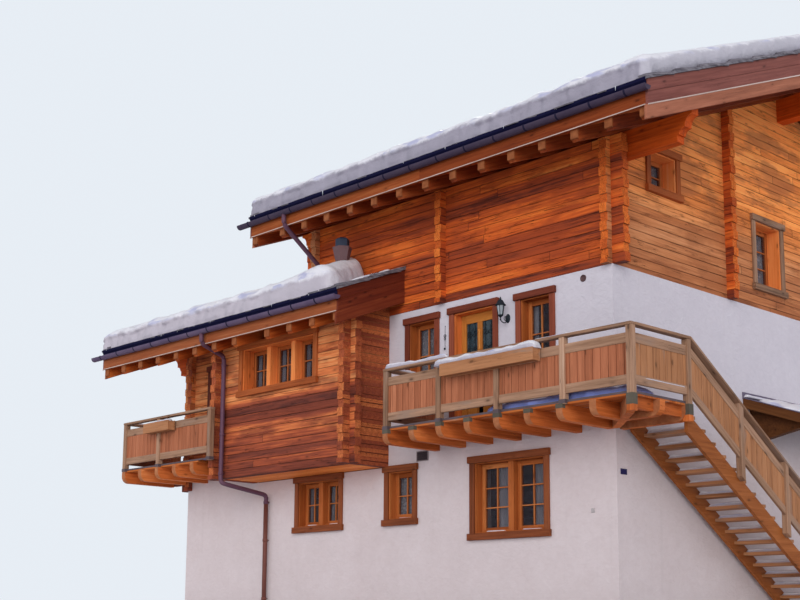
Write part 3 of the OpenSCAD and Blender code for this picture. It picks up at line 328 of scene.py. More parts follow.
# Colours of each timber from its darkest to its palest streak, and where they lie on the scale of tone.
toneStops = {"warm": (0.0, 0.35, 0.7, 1.0), "rafterNoses": (0.3, 0.7), "noses": (0.3, 0.7)}
toneSets = {
    "warm": ((0.18, 0.03, 0.006), (0.37, 0.066, 0.011), (0.52, 0.12, 0.022), (0.62, 0.2, 0.052)),
    # Main rafters: a darkened tone that paints the shade under the main eave.
    "rafter": ((0.08, 0.012, 0.004), (0.19, 0.03, 0.007), (0.3, 0.06, 0.014), (0.4, 0.105, 0.03)),
    "reveal": ((0.49, 0.118, 0.027), (0.83, 0.236, 0.057), (0.92, 0.32, 0.092), (0.93, 0.42, 0.16)),
    "deck": ((0.26, 0.056, 0.012), (0.47, 0.115, 0.022), (0.61, 0.19, 0.045), (0.69, 0.27, 0.09)),
    "fascia": ((0.08, 0.014, 0.004), (0.2, 0.036, 0.008), (0.29, 0.062, 0.014), (0.38, 0.105, 0.028)),
    "annexFascia": ((0.13, 0.03, 0.01), (0.26, 0.062, 0.019), (0.35, 0.098, 0.032), (0.44, 0.15, 0.056)),
    "annexVerge": ((0.06, 0.01, 0.006), (0.135, 0.022, 0.01), (0.21, 0.04, 0.015), (0.3, 0.08, 0.03)),
    "verge": ((0.115, 0.035, 0.029), (0.213, 0.068, 0.053), (0.293, 0.103, 0.081), (0.402, 0.165, 0.127)),
    "vergeLow": ((0.213, 0.068, 0.036), (0.386, 0.138, 0.076), (0.493, 0.193, 0.112), (0.582, 0.27, 0.172)),
    "purlin": ((0.26, 0.032, 0.004), (0.6, 0.086, 0.008), (0.78, 0.145, 0.018), (0.86, 0.23, 0.04)),
    "casing": ((0.085, 0.02, 0.011), (0.185, 0.042, 0.022), (0.265, 0.066, 0.034), (0.34, 0.1, 0.056)),
    "lowCasing": ((0.11, 0.028, 0.01), (0.235, 0.064, 0.022), (0.33, 0.1, 0.036), (0.42, 0.15, 0.06)),
    "bayCasing": ((0.18, 0.04, 0.01), (0.38, 0.092, 0.022), (0.5, 0.145, 0.04), (0.6, 0.22, 0.076)),
    "sash": ((0.2, 0.048, 0.012), (0.38, 0.098, 0.022), (0.5, 0.145, 0.036), (0.59, 0.21, 0.062)),
    "honey": ((0.28, 0.09, 0.016), (0.48, 0.165, 0.028), (0.59, 0.235, 0.048), (0.65, 0.3, 0.085)),
    # Bay soffit: pushed pale as painted light, standing in for the light the snow below throws up.
    "soffit": ((0.608, 0.144, 0.03), (0.864, 0.237, 0.05), (0.93, 0.331, 0.079), (0.93, 0.438, 0.12)),
    "tan": ((0.08, 0.042, 0.027), (0.29, 0.162, 0.096), (0.46, 0.27, 0.17), (0.62, 0.415, 0.29)),
    "bracket": ((0.3, 0.066, 0.015), (0.575, 0.141, 0.031), (0.74, 0.225, 0.062), (0.84, 0.325, 0.112)),
    "box": ((0.15, 0.06, 0.024), (0.39, 0.17, 0.074), (0.5, 0.23, 0.105), (0.59, 0.32, 0.17)),
    "rosy": ((0.13, 0.042, 0.018), (0.37, 0.122, 0.056), (0.5, 0.178, 0.086), (0.59, 0.25, 0.13)),
    "highlightBead": ((0.3, 0.215, 0.18), (0.5, 0.385, 0.33), (0.6, 0.48, 0.42), (0.68, 0.57, 0.51)),
    "umber": ((0.04, 0.013, 0.004), (0.095, 0.032, 0.009), (0.14, 0.05, 0.014), (0.2, 0.08, 0.026)),
    "stringer": ((0.12, 0.032, 0.008), (0.29, 0.084, 0.02), (0.41, 0.136, 0.038), (0.51, 0.2, 0.07)),
    "rafterNoses": ((0.21, 0.062, 0.02), (0.35, 0.125, 0.045)),
    "noses": ((0.3, 0.11, 0.044), (0.47, 0.21, 0.1)),
}
usualStops = (0.0, 0.4, 0.75, 1.0)
toneSets = {key: list(zip(toneStops.get(key, usualStops), tones)) for key, tones in toneSets.items()}


def plaster():
    # White lime render: trowel sweeps, fine grit, faint stains, warmer low down and greyer at the foot.
    look = Look("lime render")
    x, y, z = look.spot()
    wave = look.noise(look.place, 1.6, 3.0, 0.5)
    sweep = look.noise(look.scale(look.place, (4.0, 4.0, 6.5)), 1.0, 3.0, 0.5, 1.6)
    trowel = look.noise(look.scale(look.place, (9.0, 9.0, 14.0)), 1.0, 3.0, 0.55, 0.8)
    grit = look.noise(look.place, 190.0, 2.0, 0.6)
    drip = look.noise(look.scale(look.place, (9.0, 9.0, 0.5)), 1.0, 4.0).fade(0.58, 0.75)
    mottle = (wave * 0.5 + trowel * 0.5).clamp()
    high = look.ramp(mottle, [(0.25, (0.6, 0.57, 0.62)), (0.75, (0.69, 0.66, 0.705))])
    low = look.ramp(mottle, [(0.25, (0.64, 0.555, 0.55)), (0.75, (0.725, 0.65, 0.65))])
    colour = look.mix(z.fade(3.6, 2.4), high, low)
    colour = look.mix(drip * 0.08, colour, (0.45, 0.4, 0.38))
    colour = look.mix((z.fade(0.6, -0.4) * (0.4 + wave * 0.8)).clamp() * 0.3, colour, (0.42, 0.38, 0.35))
    return look.finish(colour, 0.86, sweep * 0.8 + trowel * 0.4 + grit * 0.1 + wave * 0.5, 0.014, shine=0.2)


def slateLook():
    # Split slate: layered tone, lichen, snow dust on top and paler broken edges.
    look = Look("split slate")
    layer = look.noise(look.scale(look.place, (5.0, 5.0, 26.0)), 1.0, 5.0, 0.65)
    lichen = look.noise(look.place, 13.0, 4.0, 0.7).fade(0.6, 0.72)
    stops = [(0.0, (0.018, 0.018, 0.024)), (0.5, (0.06, 0.056, 0.068)), (1.0, (0.16, 0.145, 0.15))]
    colour = look.ramp((layer * 0.8 + look.own("tone") * 0.4 - 0.1).clamp(), stops)
    colour = look.mix(lichen * 0.3, colour, (0.16, 0.13, 0.13))
    nx, ny, nz = look.facing()
    dusted = look.noise(look.scale(look.place, (7.0,) * 3), 1.0, 3.0).fade(0.36, 0.52) * nz.fade(0.55, 0.85)
    colour = look.mix(dusted * 0.8, colour, (0.46, 0.45, 0.52))
    edges = look.ramp(layer, [(0.35, (0.1, 0.09, 0.11)), (0.65, (0.3, 0.28, 0.31))])
    colour = look.mix(nz.abs().fade(0.5, 0.3) * 0.75, colour, edges)
    return look.finish(colour, 0.7, layer, 0.006, shine=0.3)


def snowLook(name, flat, steepShade, plane=None):
    # Settled snow: soft dimples and a fine crust on the flat parts; painted shade makes steep faces darker
    # and bluer. plane is where a roof's slope would meet the ridge, so that the colour turns with the height
    # over the roof: painted shade low on the face, a lit white crest. Painted bluish shadow in the crest's
    # hollows, painted light on shaded faces towards +x.
    look = Look(name)
    soft = look.noise(look.place, 3.4, 4.0, 0.55)
    crust = look.noise(look.place, 22.0, 4.0, 0.65)
    grain = look.noise(look.place, 240.0, 2.0, 0.5)
    nx, ny, nz = look.facing()
    # Painted shade: the share of the darker steep colour, by how steep the face is.
    shadedShare = (nz + (crust - 0.5) * 0.5).fade(0.55, 0.25)
    if plane:
        x, y, z = look.spot()
        over = z + (y - deepHouse / 2).abs() * pitchRise - plane
        # Painted light and shade: the white lit colour above a height over the roof, the shaded colour below
        # it.
        shadedShare = (over + (soft - 0.5) * 0.16 + (crust - 0.5) * 0.06).fade(0.33, 0.24) * nz.fade(0.88, 0.6)
    # Painted bluish shadow in hollows of the crest, between lit ridges.
    hollowShade = look.noise(look.scale(look.place, (1.7, 1.7, 4.5)), 1.0, 3.0, 0.5).fade(0.5, 0.62)
    crest = (1.0 - shadedShare) * nz.fade(0.92, 0.6)
    mottle = soft * 0.7 + crust * 0.3
    colour = look.mix(shadedShare, look.ramp(mottle, [(0.3, tuple(0.94 * v for v in flat)), (0.7, flat)]),
                      look.ramp(mottle, [(0.3, tuple(0.88 * v for v in steepShade)), (0.7, steepShade)]))
    colour = look.mix(hollowShade * crest * 0.7, colour, (0.36, 0.38, 0.62))
    # Painted light: shaded faces that look towards +x turn back towards the lit white.
    colour = look.mix(nx.fade(0.2, 1.0) * shadedShare * 0.36, colour, flat)
    return look.finish(colour, 0.55, soft * 0.8 + crust * 0.25 + grain * 0.03, 0.05, shine=0.3)


def sheetMetal(name, base, dull, rough=0.42, metal=0.55, shine=0.3, paler=None):
    # Painted or weathered sheet; paler = (height where it starts, where it is full, factor).
    look = Look(name)
    cloud = look.noise(look.place, 2.6, 4.0, 0.6)
    fine = look.noise(look.scale(look.place, (12.0, 12.0, 40.0)), 1.0, 3.0)
    colour = look.mix((cloud * 1.2 - 0.1).clamp(), base, dull)
    if paler:
        z = look.spot()[2]
        colour = look.mix(z.fade(*paler[:2]), colour, (paler[2],) * 3, "MULTIPLY")
    height = fine * 0.3 + cloud * 0.3
    return look.finish(colour, (rough + fine * 0.25).clamp(), height, 0.001, metal=metal, shine=shine)


def addPiece(name, shape, material, slot, smooth=False, replaces=(), **carried):
    # A mesh from shape = (points, faces) in the corner's coordinates, riding on the house; carried are the
    # numbers or vectors of each point that its material reads.
    mesh = bpy.data.meshes.new(name)
    points, faces = shape
    mesh.from_pydata((np.asarray(points, float) + corner).tolist(), [], [list(map(int, f)) for f in faces])
    for key, values in carried.items():
        values = np.asarray(values, np.float32)
        kind, field = ("FLOAT", "value") if values.ndim == 1 else ("FLOAT_VECTOR", "vector")
        mesh.attributes.new(key, kind, "POINT").data.foreach_set(field, values.ravel())
    mesh.polygons.foreach_set("use_smooth", np.full(len(mesh.polygons), smooth))
    mesh.materials.append(material)
    mesh.update()
    made = bpy.data.objects.new(name, mesh)
    bpy.context.scene.collection.objects.link(made)
    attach(made, "root")
    if replaces:
        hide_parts(*replaces)
    return made


boxCorners = np.array([[i, j, k] for i in (0, 1) for j in (0, 1) for k in (0, 1)], float)
boxFaces = np.array([[0, 1, 3, 2], [4, 6, 7, 5], [0, 4, 5, 1], [2, 3, 7, 6], [0, 2, 6, 4], [1, 5, 7, 3]])


class Boards:
    # Collects boards, each from a low to a high corner in its own place, and makes them one piece.

    def __init__(self):
        self.low, self.high, self.along, self.place, self.tone = [], [], [], [], []

    def add(self, low, high, along, place=None, tone=None):
        self.low.append(np.minimum(low, high))
        self.high.append(np.maximum(low, high))
        self.along.append("xyz".index(along))
        self.place.append(np.eye(4) if place is None else np.array(place, float))
        self.tone.append(chance.uniform(0.15, 0.9) if tone is None else tone)

    def make(self, name, material, slot, bevel=0.004, replaces=()):
        low, high = np.array(self.low), np.array(self.high)
        place, tone = np.array(self.place), np.array(self.tone)
        local = low[:, None] + boxCorners[None] * (high - low)[:, None]
        order = np.array([[0, 1, 2], [1, 2, 0], [2, 0, 1]])[self.along]
        grain = np.take_along_axis(local, order[:, None, :].repeat(8, 1), 2)
        grain = grain + chance.uniform(0, 40, (len(low), 1, 3))
        points = np.einsum("nij,nkj->nki", place[:, :3, :3], local) + place[:, None, :3, 3]
        faces = boxFaces[None] + 8 * np.arange(len(low))[:, None, None]
        mirrored = np.linalg.det(place[:, :3, :3]) < 0
        faces[mirrored] = faces[mirrored][:, :, ::-1]
        made = addPiece(name, (points.reshape(-1, 3), faces.reshape(-1, 4)), material, slot,
                        replaces=replaces, tone=tone.repeat(8), grain=grain.reshape(-1, 3))
        if bevel:
            edge = made.modifiers.new("edge", "BEVEL")
            edge.width, edge.segments, edge.limit_method = bevel, 1, "ANGLE"
        return made


def block(low, high):
    # Points and faces of one upright box.
    low = np.asarray(low)
    return low + boxCorners * (np.asarray(high) - low), boxFaces.tolist()


def placed(origin, u=(1, 0, 0), v=(0, 1, 0), w=(0, 0, 1)):
    # Place with its three axes, as a 4 by 4 array.
    made = np.eye(4)
    made[:3, 0], made[:3, 1], made[:3, 2], made[:3, 3] = u, v, w, origin
    return made


def spotIn(place, x, y, z):
    return (place @ np.array([x, y, z, 1]))[:3]


def gridFaces(rows, cols, around=False):
    # Quads of a grid of rows by cols points, closed the second way if around.
    i, j = np.meshgrid(np.arange(rows - 1), np.arange(cols if around else cols - 1), indexing="ij")
    k = (j + 1) % cols
    return np.stack([i * cols + j, i * cols + k, (i + 1) * cols + k, (i + 1) * cols + j], -1).reshape(-1, 4)


def ripple(a, b, seed, waves=14, coarse=0.5, fine=4.0):
    # Smooth noise about -1 to 1: a sum of sine waves of random direction and phase.
    pick = np.random.default_rng(seed)
    total = np.zeros(np.broadcast(a, b).shape)
    for k in range(waves):
        pace = coarse * (fine / coarse) ** (k / (waves - 1))
        turn, phase = pick.uniform(0, 2 * math.pi, 2)
        far = a * math.cos(turn) + b * math.sin(turn)
        total = total + (coarse / pace) ** 0.6 * np.sin(2 * math.pi * pace * far + phase)
    return total / math.sqrt(waves / 2.0)


def ringFaces(rows, cols):
    # Faces of rings carried along a path, with both ends closed.
    last = (rows - 1) * cols
    ends = [list(range(cols)), list(range(last + cols - 1, last - 1, -1))]
    return gridFaces(rows, cols, True)[:, ::-1].tolist() + ends


def tube(path, radius, sides=8):
    # Round bar along a path: a circle across the path's direction at each point.
    path = np.asarray(path, float)
    ahead = np.gradient(path, axis=0)
    ahead /= np.linalg.norm(ahead, axis=1)[:, None]
    side = np.cross(ahead, np.where(np.abs(ahead[:, 2:]) > 0.9, [[1.0, 0, 0]], [[0, 0, 1.0]]))
    side /= np.linalg.norm(side, axis=1)[:, None]
    up = np.cross(side, ahead)
    turn = np.linspace(0, 2 * math.pi, sides, endpoint=False)
    reach = np.broadcast_to(radius, (len(path),))[:, None, None]
    ring = np.cos(turn)[None, :, None] * side[:, None] + np.sin(turn)[None, :, None] * up[:, None]
    return (path[:, None] + reach * ring).reshape(-1, 3), ringFaces(len(path), sides)


def turned(profile, centre, sides=6, spin=0.0):
    # Turned or many-sided body: (radius, height) pairs carried round an upright axis.
    profile = np.asarray(profile, float)
    turn = np.linspace(0, 2 * math.pi, sides, endpoint=False) + spin
    ring = np.stack([profile[:, :1] * np.cos(turn), profile[:, :1] * np.sin(turn),
                     profile[:, 1:].repeat(sides, 1)], -1) + np.asarray(centre, float)
    return ring.reshape(-1, 3), [f[::-1] for f in ringFaces(len(profile), sides)]


def merged(parts):
    # Several (points, faces) as one.
    points, faces, base = [], [], 0
    for p, f in parts:
        points.append(np.asarray(p))
        faces += [[int(i) + base for i in one] for one in f]
        base += len(p)
    return np.concatenate(points), faces




def slopeBoards(name, stops, split=0.0, noseFrom=0.0):
    # Timber that follows the two roof slopes: rafters with paler noses beyond noseFrom, counted from the
    # ridge, or with split = board width, boards along x.
    look = Look(name)
    x, y, z = look.spot()
    away = (y - deepHouse / 2).abs()
    over = z + away * pitchRise
    if split:
        level = away / cosPitch / split
        index = level.floor()
        part = level - index
        own = look.lottery(look.join(index, ((x + index * 1.7) / 3.2).floor(), 4.0))
        grain = look.join(x + index * 2.1, away + index * 0.7, z)
    else:
        index = ((x - rafterRow["start"]) / rafterRow["pitch"]).floor()
        own = look.lottery(look.join(index, 2.0, 6.0))
        grain = look.join(y + index * 1.3, over, x)
    weather = look.noise(look.scale(look.place, (0.5, 0.7, 0.5)), 1.0, 3.0)
    colour, height = fibres(look, grain, (own * 0.7 + weather * 0.6 - 0.15).clamp(), stops,
                            cracks=0.5, knots=0.6)
    if noseFrom:
        pale = look.ramp(look.noise(look.place, 9.0, 3.0), toneSets["rafterNoses"])
        colour = look.mix(away.fade(noseFrom, noseFrom + 0.03) * 0.85, colour, pale)
    if split:
        gap = (0.5 - (part - 0.5).abs()).fade(0.05, 0.015)
        colour = look.mix(gap * 0.8, colour, (0.02, 0.01, 0.006))
        height = height - gap
    return look.finish(colour, 0.62, height, 0.003, shine=0.12)


woodShares = {"tan": 0.25, "box": 0.15}  # share of weathered grey
woods = {key: boarded(key + " boards", toneSets[key], greyShare=woodShares.get(key, 0.0)) for key in (
    "warm", "fascia", "annexFascia", "annexVerge", "verge", "vergeLow", "casing", "lowCasing", "bayCasing",
    "reveal", "sash", "honey", "highlightBead", "umber", "bracket", "tan", "box", "rosy")}
limeRender = plaster()
slates = slateLook()
ridgeOver = deepHouse / 2 * pitchRise + coverHigh
snow = snowLook("settled snow", (0.83, 0.83, 0.87), (0.365, 0.345, 0.41), roofs["main"]["z"] + ridgeOver)
looseSnow = snowLook("loose snow", (0.84, 0.84, 0.88), (0.56, 0.52, 0.575), roofs["annex"]["z"] + ridgeOver)
driftSnow = snowLook("drifted snow", (0.84, 0.84, 0.88), (0.56, 0.53, 0.6))
shadeSnow = snowLook("deck snow in shade", (0.26, 0.31, 0.66), (0.19, 0.24, 0.56))
navySheet = sheetMetal("dark sheet", (0.003, 0.003, 0.026), (0.008, 0.008, 0.04), 0.7, 0.0, 0.1)
gutterSheet = sheetMetal("gutter sheet", (0.038, 0.026, 0.056), (0.082, 0.058, 0.088), 0.5, 0.2, 0.2,
                         (6.6, 6.0, 2.1))
strapSheet = sheetMetal("gutter straps", (0.008, 0.007, 0.026), (0.02, 0.016, 0.042), 0.6, 0.1, 0.15)
pipeSheet = sheetMetal("pipe paint", (0.095, 0.04, 0.07), (0.15, 0.07, 0.105), 0.42, 0.2)
lowPipeSheet = sheetMetal("old pipe paint", (0.12, 0.034, 0.026), (0.21, 0.08, 0.058), 0.45, 0.2)
edgeSheet = sheetMetal("deck edge sheet", (0.09, 0.06, 0.066), (0.15, 0.115, 0.125), 0.5, 0.3)
blackIron = sheetMetal("black iron", (0.01, 0.016, 0.024), (0.026, 0.036, 0.046), 0.5, 0.4)


def glassLook(name, dark, light, clear):
    # Thin pane that lets the view through and mirrors the sky a little.
    look = Look(name)
    wave = look.noise(look.place, 2.2, 2.0)
    dust = look.noise(look.place, 7.0, 4.0, 0.6)
    colour = look.ramp(dust, [(0.3, dark), (0.7, light)])
    return look.finish(colour, 0.05 + dust * 0.04, wave, 0.004, alpha=clear + dust * 0.08, ior=1.3)


def concreteLook():
    look = Look("slab concrete")
    cloud = look.noise(look.place, 1.3, 4.0, 0.6)
    pores = look.cells(look.place, 60.0).fade(0.16, 0.05)
    colour = look.ramp(cloud, [(0.3, (0.24, 0.23, 0.22)), (0.7, (0.36, 0.35, 0.33))])
    colour = look.mix(pores * 0.5, colour, (0.13, 0.12, 0.12))
    return look.finish(colour, 0.85, cloud - pores * 0.5, 0.004)


windowGlass = glassLook("window glass", (0.03, 0.026, 0.034), (0.052, 0.046, 0.058), 0.28)


def bayColumns(x, y):
    left, right, thick = house["bayLeft"], house["bayRight"], house["logThick"]
    return (x > left) * (x < left + thick) + (x > right - thick) * (x < right)


bracketPitch = 0.635
nodeLooks = {
    "ground_slab": concreteLook(),
    "floors": sawn("floor timber", toneSets["deck"], "xyz", ("y", 0.0, 0.16)),
    "front_logs": logWall("front logs", "front", white, 0.0),
    "rear_logs": logWall("rear logs", "front", white, 0.0),
    # The right gable's upper logs are brightened: painted light under the shade of the verge's overhang.
    "right_gable_logs": logWall("right gable logs", "gable", white, 1.0, logTones["front"],
                                (6.1, 7.2, (1.7, 1.45, 0.88))),
    "left_gable_logs": logWall("left block logs", "gable", white, 1.0),
    "partition_ends": logWall("partition log ends", "front", white, lambda x, y: x < 0.0),
    "bay_logs": logWall("bay logs", "bay", plinth, bayColumns),
    "annex_front_logs": logWall("annex front logs", "bay", plinth, 0.0),
    "annex_gable_logs": logWall("annex gable logs", "bay", plinth, 1.0),
    "annex_rear_logs": logWall("annex rear logs", "bay", plinth, 0.0),
    "bay_soffit": sawn("bay soffit boards", toneSets["soffit"], "xyz", ("y", 0.0, 0.12)),
    "purlins": sawn("carved purlins", toneSets["purlin"], "xyz"),
    "main_rafters": slopeBoards("main rafters", toneSets["rafter"], noseFrom=6.32),
    "annex_rafters": slopeBoards("annex rafters", toneSets["warm"], noseFrom=6.84),
    "main_roof": slopeBoards("main soffit boards", toneSets["warm"], split=0.17),
    "annex_roof": slopeBoards("annex soffit boards", toneSets["warm"], split=0.17),
    "gutters": gutterSheet,
    "balcony_decks": sawn("deck planks", toneSets["deck"], "xyz", ("y", 0.0, 0.14), 0.1),
    "balcony_brackets": sawn("brackets", toneSets["bracket"], "yxz", ("x", -0.662, bracketPitch),
                             noses=toneSets["noses"]),
    "stair_stringers": sawn("stringers", toneSets["stringer"], "yzx"),
    "stair_treads": sawn("treads", toneSets["box"], "xyz", ("y", 0.23, 0.272), 0.3),
    "glass": windowGlass,
    "canopy": sawn("canopy timber", toneSets["umber"], "yxz"),
}
nodeLooks.update({name: limeRender for name in ("front_wall", "rear_wall", "right_gable_wall", "left_wall")})
nodeLooks.update(main_slates=slates, annex_slates=slates)
for name, material in nodeLooks.items():
    cadNode[name].data.materials.clear()
    cadNode[name].data.materials.append(material)
print("materials on", len(nodeLooks), "solids")



# The walls' own places: along the wall, into it, up.
walls = {
    "front": placed((0, 0, 0)),
    "bay": placed((0, -house["bayOut"], 0)),
    "right": placed((0, 0, 0), (0, 1, 0), (-1, 0, 0)),
    "rightRear": placed((0, deepHouse, 0), (0, -1, 0), (-1, 0, 0)),
    "rear": placed((0, deepHouse, 0), (-1, 0, 0), (0, -1, 0)),
    "left": placed((-house["long"], deepHouse, 0), (0, -1, 0), (1, 0, 0)),
}
windowParts = {"casing": 0.105, "casingThick": 0.035, "lining": 0.03, "sash": 0.08, "between": 0.28,
               "thick": 0.056, "bar": 0.021, "masonry": 0.15, "logs": 0.24, "board": 0.115, "headOut": 0.03,
               "sillOut": 0.04, "past": 0.025, "postShare": 0.7}
# Each kind: width, height, lights, reveal, panes across and up, casing wood, curtain.
windowKinds = {
    "wide": (1.554, 1.218, 2, "masonry", (2, 3), "lowCasing", "blind"),
    "low": (0.641, 0.88, 1, "masonry", (2, 2), "lowCasing", "net"),
    "pair": (1.207, 0.88, 2, "masonry", (2, 2), "lowCasing", "side"),
    "tall": (0.661, 1.21, 1, "masonry", (2, 2), "casing", "net"),
    "tallOpen": (0.642, 1.2, 1, "masonry", (2, 2), "casing", "side"),
    "tallNet": (0.642, 1.2, 1, "masonry", (2, 2), "casing", "net"),
    "tallPair": (1.207, 1.2, 2, "masonry", (2, 2), "casing", "side"),
    "bay": (2.19, 0.85, 3, "logs", (2, 2), "bayCasing", "side"),
    "small": (0.75, 0.64, 1, "logs", (2, 2), "bayCasing", "net"),
    "weathered": (0.86, 1.2, 1, "logs", (2, 3), "tan", "net"),
    "logs": (0.86, 1.0, 1, "logs", (2, 3), "casing", "net"),
}
highSill = white - 1.455
smallSill, gableSill, rearSill = white + 1.525, white + 0.435, white + 0.635
# Each window of a node: wall, distance along it, sill, kind.
windowRows = {
    "front_windows": [("front", -2.998, 1.213, "wide"), ("front", -5.14, 1.56, "low"),
                      ("front", -7.712, 1.55, "pair"), ("front", -4.61, highSill, "tall"),
                      ("front", -1.923, highSill, "tallOpen")],
    "bay_window": [("bay", -8.36, 4.2, "bay")],
    "gable_windows": [("right", 1.05, smallSill, "small"), ("right", 4.22, gableSill, "weathered"),
                      ("rightRear", 1.05, smallSill, "small"), ("rightRear", 3.6, gableSill, "weathered")],
    "rear_windows": [("rear", 1.8, 1.213, "wide"), ("rear", 5.4, 1.56, "pair"), ("rear", 8.9, 1.56, "low"),
                     ("rear", 1.9, highSill, "tallNet"), ("rear", 4.1, highSill, "tallPair"),
                     ("rear", 1.5, rearSill, "logs"), ("rear", 4.8, rearSill, "logs"),
                     ("rear", 8.9, 4.0, "logs")],
    "left_windows": [("left", 2.4, 1.56, "low"), ("left", 7.4, 1.56, "low"), ("left", 2.3, 4.0, "logs"),
                     ("left", 7.4, 4.0, "logs")],
}
windowRows = {node: [(*row[:3], *windowKinds[row[3]]) for row in rows] for node, rows in windowRows.items()}


def lightsOf(rows):
    # Every light of a node's windows: its window's number and row, place, own number, left edge, width.
    size = windowParts
    for k, row in enumerate(rows):
        wall, along, sill, wide, high, lights = row[:6]
        place = walls[wall] @ placed((along, 0, sill))
        rim = size["lining"] + size["sash"]
        light = (wide - 2 * size["lining"] - 2 * size["sash"] - (lights - 1) * size["between"]) / lights
        for i in range(lights):
            yield k, row, place, i, rim + i * (light + size["between"]), light


def casingBoards(boards, inner, place, wide, high, deep, sill=True):
    # Side casings, head and sill boards; the lining of the reveal goes to inner.
    size = windowParts
    edge, face, lining, past = [size[key] for key in ("casing", "casingThick", "lining", "past")]
    headLow, sillTop = high + edge - size["board"], size["board"] - edge if sill else 0.0
    left, right = -edge - past, wide + edge + past
    for x0, x1 in ((-edge, 0.008), (wide - 0.008, wide + edge)):
        boards.add((x0, -face, sillTop), (x1, 0, headLow), "z", place)
    boards.add((left, -face - size["headOut"], headLow), (right, 0, high + edge), "x", place, 0.35)
    if sill:
        boards.add((left, -face - size["sillOut"], -edge), (right, 0, sillTop), "x", place, 0.3)
        inner.add((lining, -0.002, 0), (wide - lining, deep, lining), "x", place, 0.4)
    for x0 in (0, wide - lining):
        inner.add((x0, -0.002, 0), (x0 + lining, deep, high), "z", place)
    inner.add((lining, -0.002, high - lining), (wide - lining, deep, high), "x", place)


def lightBoards(linings, sashes, place, light, x0, row, k):
    # One light's sash with its bars, and the post between it and the light before.
    size = windowParts
    lining, rim, half = size["lining"], size["sash"], size["bar"] / 2
    low, top, y0 = lining, row[4] - lining, size[row[6]]
    x1, y1 = x0 + light, y0 + size["thick"]
    for a, b in ((x0 - rim + 0.002, x0), (x1, x1 + rim - 0.002)):
        sashes.add((a, y0, low), (b, y1, top), "z", place)
        lip = (b - 0.022, b - 0.002) if b == x0 else (a + 0.002, a + 0.022)
        sashes.add((lip[0], y0 - 0.01, low + 0.05), (lip[1], y0, top - 0.05), "z", place, 0.85)
    for z in (low, top - rim):
        sashes.add((x0, y0 + 0.003, z), (x1, y1, z + rim), "x", place)
    drip = rim - 0.01
    sashes.add((x0 - drip, y0 - 0.02, low), (x1 + drip, y0 + 0.003, low + 0.032), "x", place, 0.7)
    across, up = row[7]
    for i in range(1, across):
        x = x0 + light * i / across
        sashes.add((x - half, y0 + 0.004, low + rim), (x + half, y1 - 0.006, top - rim), "z", place, 0.9)
    for i in range(1, up):
        z = low + rim + (top - low - 2 * rim) * i / up
        sashes.add((x0, y0 + 0.007, z - half), (x1, y1 - 0.009, z + half), "x", place, 0.9)
    if k:
        post = x0 - size["between"] + rim
        linings.add((post, y0 * (1 - size["postShare"]), low), (x0 - rim, y1, top), "z", place, 0.6)


for node, rows in windowRows.items():
    groups = {}
    linings, sashes = Boards(), Boards()
    for k, row, place, i, x0, light in lightsOf(rows):
        if i == 0:
            casings = groups.setdefault(row[8], Boards())
            casingBoards(casings, linings, place, row[3], row[4], windowParts[row[6]] + windowParts["thick"])
        lightBoards(linings, sashes, place, light, x0, row, i)
    for wood, boards in groups.items():
        boards.make(node + "_casing_" + wood, woods[wood], "window_wood", 0.004, [node])
    sashes.make(node + "_sash", woods["sash"], "window_wood", 0.003, [node])
    wood = woods["reveal" if rows[0][6] == "logs" else "sash"]
    linings.make(node + "_reveal", wood, "window_wood", 0.003, [node])
print("windows done")


# Curtains: cloth gathered on a thin rod behind each light, in sine folds that grow from the rod down.
curtainSet = {"rod": 0.006, "rodPast": 0.03, "clothPast": 0.02, "off": 0.03, "fold": 0.018, "wave": 0.085,
              "rows": 24, "perWave": 10, "thick": 0.0012}
curtainShares = {"net": [(0.0, 1.0)], "side": [(0.0, 0.22), (0.78, 1.0)], "blind": [(0.44, 1.0)]}


def clothLook(name, dark, pale, thin, holes):
    # Woven cotton: threads both ways along the piece's own map, a lace figure of small cells where holes > 0.
    look = Look(name)
    u, v, w = look.split(look.own("weave", 1))
    thread = look.maths("SINE", u * 3600.0) * look.maths("SINE", v * 3600.0)
    cloud = look.noise(look.join(u * 3.0, v * 3.0, 0.0), 1.0, 3.0)
    figure = look.cells(look.join(u * 16.0, v * 16.0, 0.0), 1.0).fade(0.3, 0.42) * holes
    colour = look.ramp((cloud + thread * 0.1).clamp(), [(0.3, dark), (0.7, pale)])
    return look.finish(colour, 0.8, thread, 0.0004, alpha=(thin - figure).clamp(), shine=0.2)


netCloth = clothLook("lace net", (0.62, 0.64, 0.7), (0.8, 0.82, 0.88), 0.9, 0.35)
plainCloth = clothLook("plain curtain", (0.46, 0.46, 0.52), (0.62, 0.62, 0.68), 1.0, 0.0)


def curtain(name, place, x0, x1, y, low, top, material, seed, rodPiece):
    shape = curtainSet
    waves = max(3, round((x1 - x0) / shape["wave"]))
    across = np.linspace(0, 1, waves * shape["perWave"] + 1)
    down = np.linspace(0, 1, shape["rows"])
    sway = 0.35 * ripple(across[:, None] * 2.0, down[None] * 0.8, seed, 8, 0.5, 2.0)
    swing = np.sin(2 * math.pi * waves * across[:, None] + sway)
    fold = shape["fold"] * (0.35 + 0.65 * down[None] ** 0.5) * swing
    points = np.stack(np.broadcast_arrays(x0 + (x1 - x0) * across[:, None], y + shape["fold"] + 0.004 + fold,
                                          top + (low - top) * down[None]), -1)
    steps = np.linalg.norm(np.diff(points, axis=0), axis=2).mean(1)
    far = np.concatenate([[0], np.cumsum(steps)])[:, None]
    weave = np.stack(np.broadcast_arrays(far, (top - low) * down[None], 0.0), -1).reshape(-1, 3)
    local = points.reshape(-1, 3) @ place[:3, :3].T + place[:3, 3]
    made = addPiece(name, (local, gridFaces(len(across), shape["rows"])), material, "pane", True, weave=weave)
    thick = made.modifiers.new("thick", "SOLIDIFY")
    thick.thickness, thick.offset = shape["thick"], 0.0


